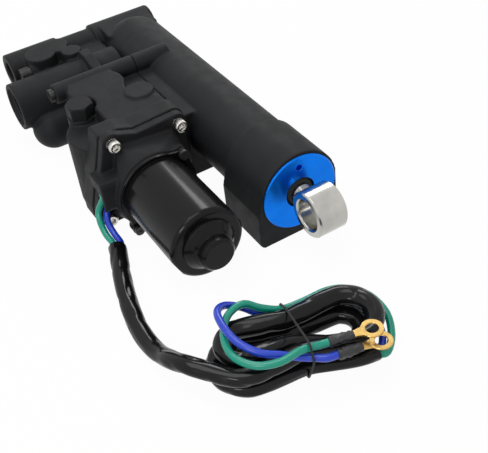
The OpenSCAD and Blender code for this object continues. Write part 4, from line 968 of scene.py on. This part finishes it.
@dataclass
class CapScrews:
    """Socket head screws of the motor flange, with knurled heads and split lock washers."""

    places: tuple[tuple[float, float], ...] = ((-101.0, 33.5), (-45.5, 28.0), (-117.0, -30.0),
                                               (-52.0, -30.0))
    head_r: float = 5.0
    head_back: float = -96.4
    head_front: float = -90.4
    shank_r: float = 3.0
    shank_end: float = -116.4
    socket_r: float = 2.9
    knurl: float = 0.22
    head_sides: int = 72
    washer_back: float = -98.0
    washer_bore_r: float = 3.1
    washer_r: float = 4.95
    washer_t: float = 1.25
    washer_steps: int = 40
    split: float = 0.16
    spring: float = 0.2
    first_turn: float = 0.7
    next_turn: float = 1.1

    def head(self, y: float, z: float, turn: float) -> Shape:
        """Makes one screw: knurled head, hexagon socket and shank.

        Args:
            y: The screw's place across.
            z: The screw's height.
            turn: How far its socket is turned, in radians.

        Returns:
            Its points and faces.
        """
        profile = [(self.shank_end, 0.01), (self.shank_end, self.shank_r - 0.5),
                   (self.shank_end + 0.5, self.shank_r), (self.head_back, self.shank_r),
                   (self.head_back, self.head_r - 0.15), (self.head_back + 0.15, self.head_r),
                   (self.head_front - 0.75, self.head_r), (self.head_front - 0.2, self.head_r - 0.5),
                   (self.head_front, self.head_r - 0.9), (self.head_front, self.socket_r + 0.35),
                   (self.head_front - 0.3, self.socket_r), (self.head_front - 3.0, self.socket_r),
                   (self.head_front - 3.3, self.socket_r * 0.8), (self.head_front - 3.5, 0.01)]

        def place(along: float, radius: float, angle: float) -> Vector:
            """Puts a point of the screw in the part's frame, with knurl and hexagon pressed in."""
            if abs(radius - self.head_r) < 0.01:
                radius -= self.knurl * (int(round(angle * self.head_sides / (2 * math.pi))) % 2)
            if along > self.head_front - 3.4 and radius <= self.socket_r + 0.01:
                slice_at = (angle + turn) % (math.pi / 3) - math.pi / 6
                radius *= math.cos(math.pi / 6) / math.cos(slice_at)
            return at(along, y + radius * math.cos(angle), z + radius * math.sin(angle))
        return Maker.turned(profile, place, self.head_sides)

    def washer(self, y: float, z: float, turn: float) -> Shape:
        """Makes one lock washer, split and sprung open a little.

        Args:
            y: The washer's place across.
            z: The washer's height.
            turn: Where its split lies, in radians.

        Returns:
            Its points and faces.
        """
        points = []
        section = ((self.washer_bore_r, 0.0), (self.washer_r, 0.0), (self.washer_r, self.washer_t),
                   (self.washer_bore_r, self.washer_t))
        for i in range(self.washer_steps + 1):
            angle = turn + (2 * math.pi - self.split) * i / self.washer_steps
            lift = self.spring * i / self.washer_steps
            for r, x in section:
                points.append(at(self.washer_back + x + lift, y + r * math.cos(angle),
                                 z + r * math.sin(angle)))
        return points, skin_faces(self.washer_steps + 1, len(section))

    def _all(self, name: str, node: str, make: Callable[[float, float, float], Shape]) -> None:
        """Joins every screw, or every washer, into one piece.

        Args:
            name: The piece's name.
            node: The CAD node that it takes the place of.
            make: Makes one from its place and turn.
        """
        points, faces = [], []
        for i, (y, z) in enumerate(self.places):
            more, joined = make(y, z, self.first_turn + self.next_turn * i)
            faces += [tuple(k + len(points) for k in face) for face in joined]
            points += more
        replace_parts(Maker.piece(name, points, faces, BRIGHT_SCREW, smooth=0.5), node)

    def build(self) -> None:
        """Makes the screws and their washers."""
        self._all("flange_cap_screws", "flange_screws", self.head)
        self._all("flange_split_washers", "flange_lock_washers", self.washer)


@dataclass
class Threads:
    """Turns of thread on the plug and the valve that stand out of the castings."""

    pitch: float = 1.25
    depth: float = 0.45
    sunk: float = 0.2
    half_width: float = 0.45
    steps: int = 32

    def turns(self, name: str, x: float, z: float, radius: float, y_out: float, y_in: float,
              body: str) -> None:
        """Winds a thread round an axis along Y.

        Args:
            name: The piece's name.
            x: The axis's place along.
            z: The axis's height.
            radius: The plug's radius.
            y_out: The thread's outer end.
            y_in: The thread's inner end.
            body: The body that it rides on.
        """
        points = []
        half, root = self.steps / 2, radius - self.sunk
        count = int((y_in - y_out) / self.pitch * self.steps)
        for i in range(count + 1):
            angle = 2 * math.pi * i / self.steps
            y = y_out + self.pitch * i / self.steps
            fade = min(1.0, i / half, (count - i) / half)
            for r, across in ((root, -self.half_width), (root + self.depth * fade, 0.0),
                              (root, self.half_width)):
                points.append(at(x + r * math.cos(angle), y + across * self.pitch,
                                 z + r * math.sin(angle)))
        Maker.piece(name, points, skin_faces(count + 1, 3), BLACK_OXIDE, body, smooth=0.6)

    def build(self) -> None:
        """Winds both threads."""
        self.turns("gallery_plug_thread", x=-203.0, z=27.0, radius=5.5, y_out=-110.4, y_in=-107.6,
                   body="casing")
        self.turns("manual_valve_thread", x=-274.0, z=14.0, radius=6.0, y_out=-112.4, y_in=-106.2,
                   body="manual_valve")


def dress_nodes() -> None:
    """Gives every CAD node outside the harness its finish."""
    for finish, nodes in NODE_FINISHES.items():
        for node in nodes:
            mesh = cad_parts[node].data
            mesh.materials.clear()
            mesh.materials.append(finish.material())
    log.info("%d finishes on the CAD nodes", len(NODE_FINISHES))


def main() -> None:
    """Builds camera, harness, finishes, castings, screws, threads and studio, in that order."""
    logging.basicConfig(level=logging.INFO, format="%(name)s %(message)s", stream=sys.stdout)
    studio = Studio()
    studio.camera()
    Harness().build()
    dress_nodes()
    Castings().build()
    CapScrews().build()
    Threads().build()
    studio.build()


if __name__ == "__main__":
    main()
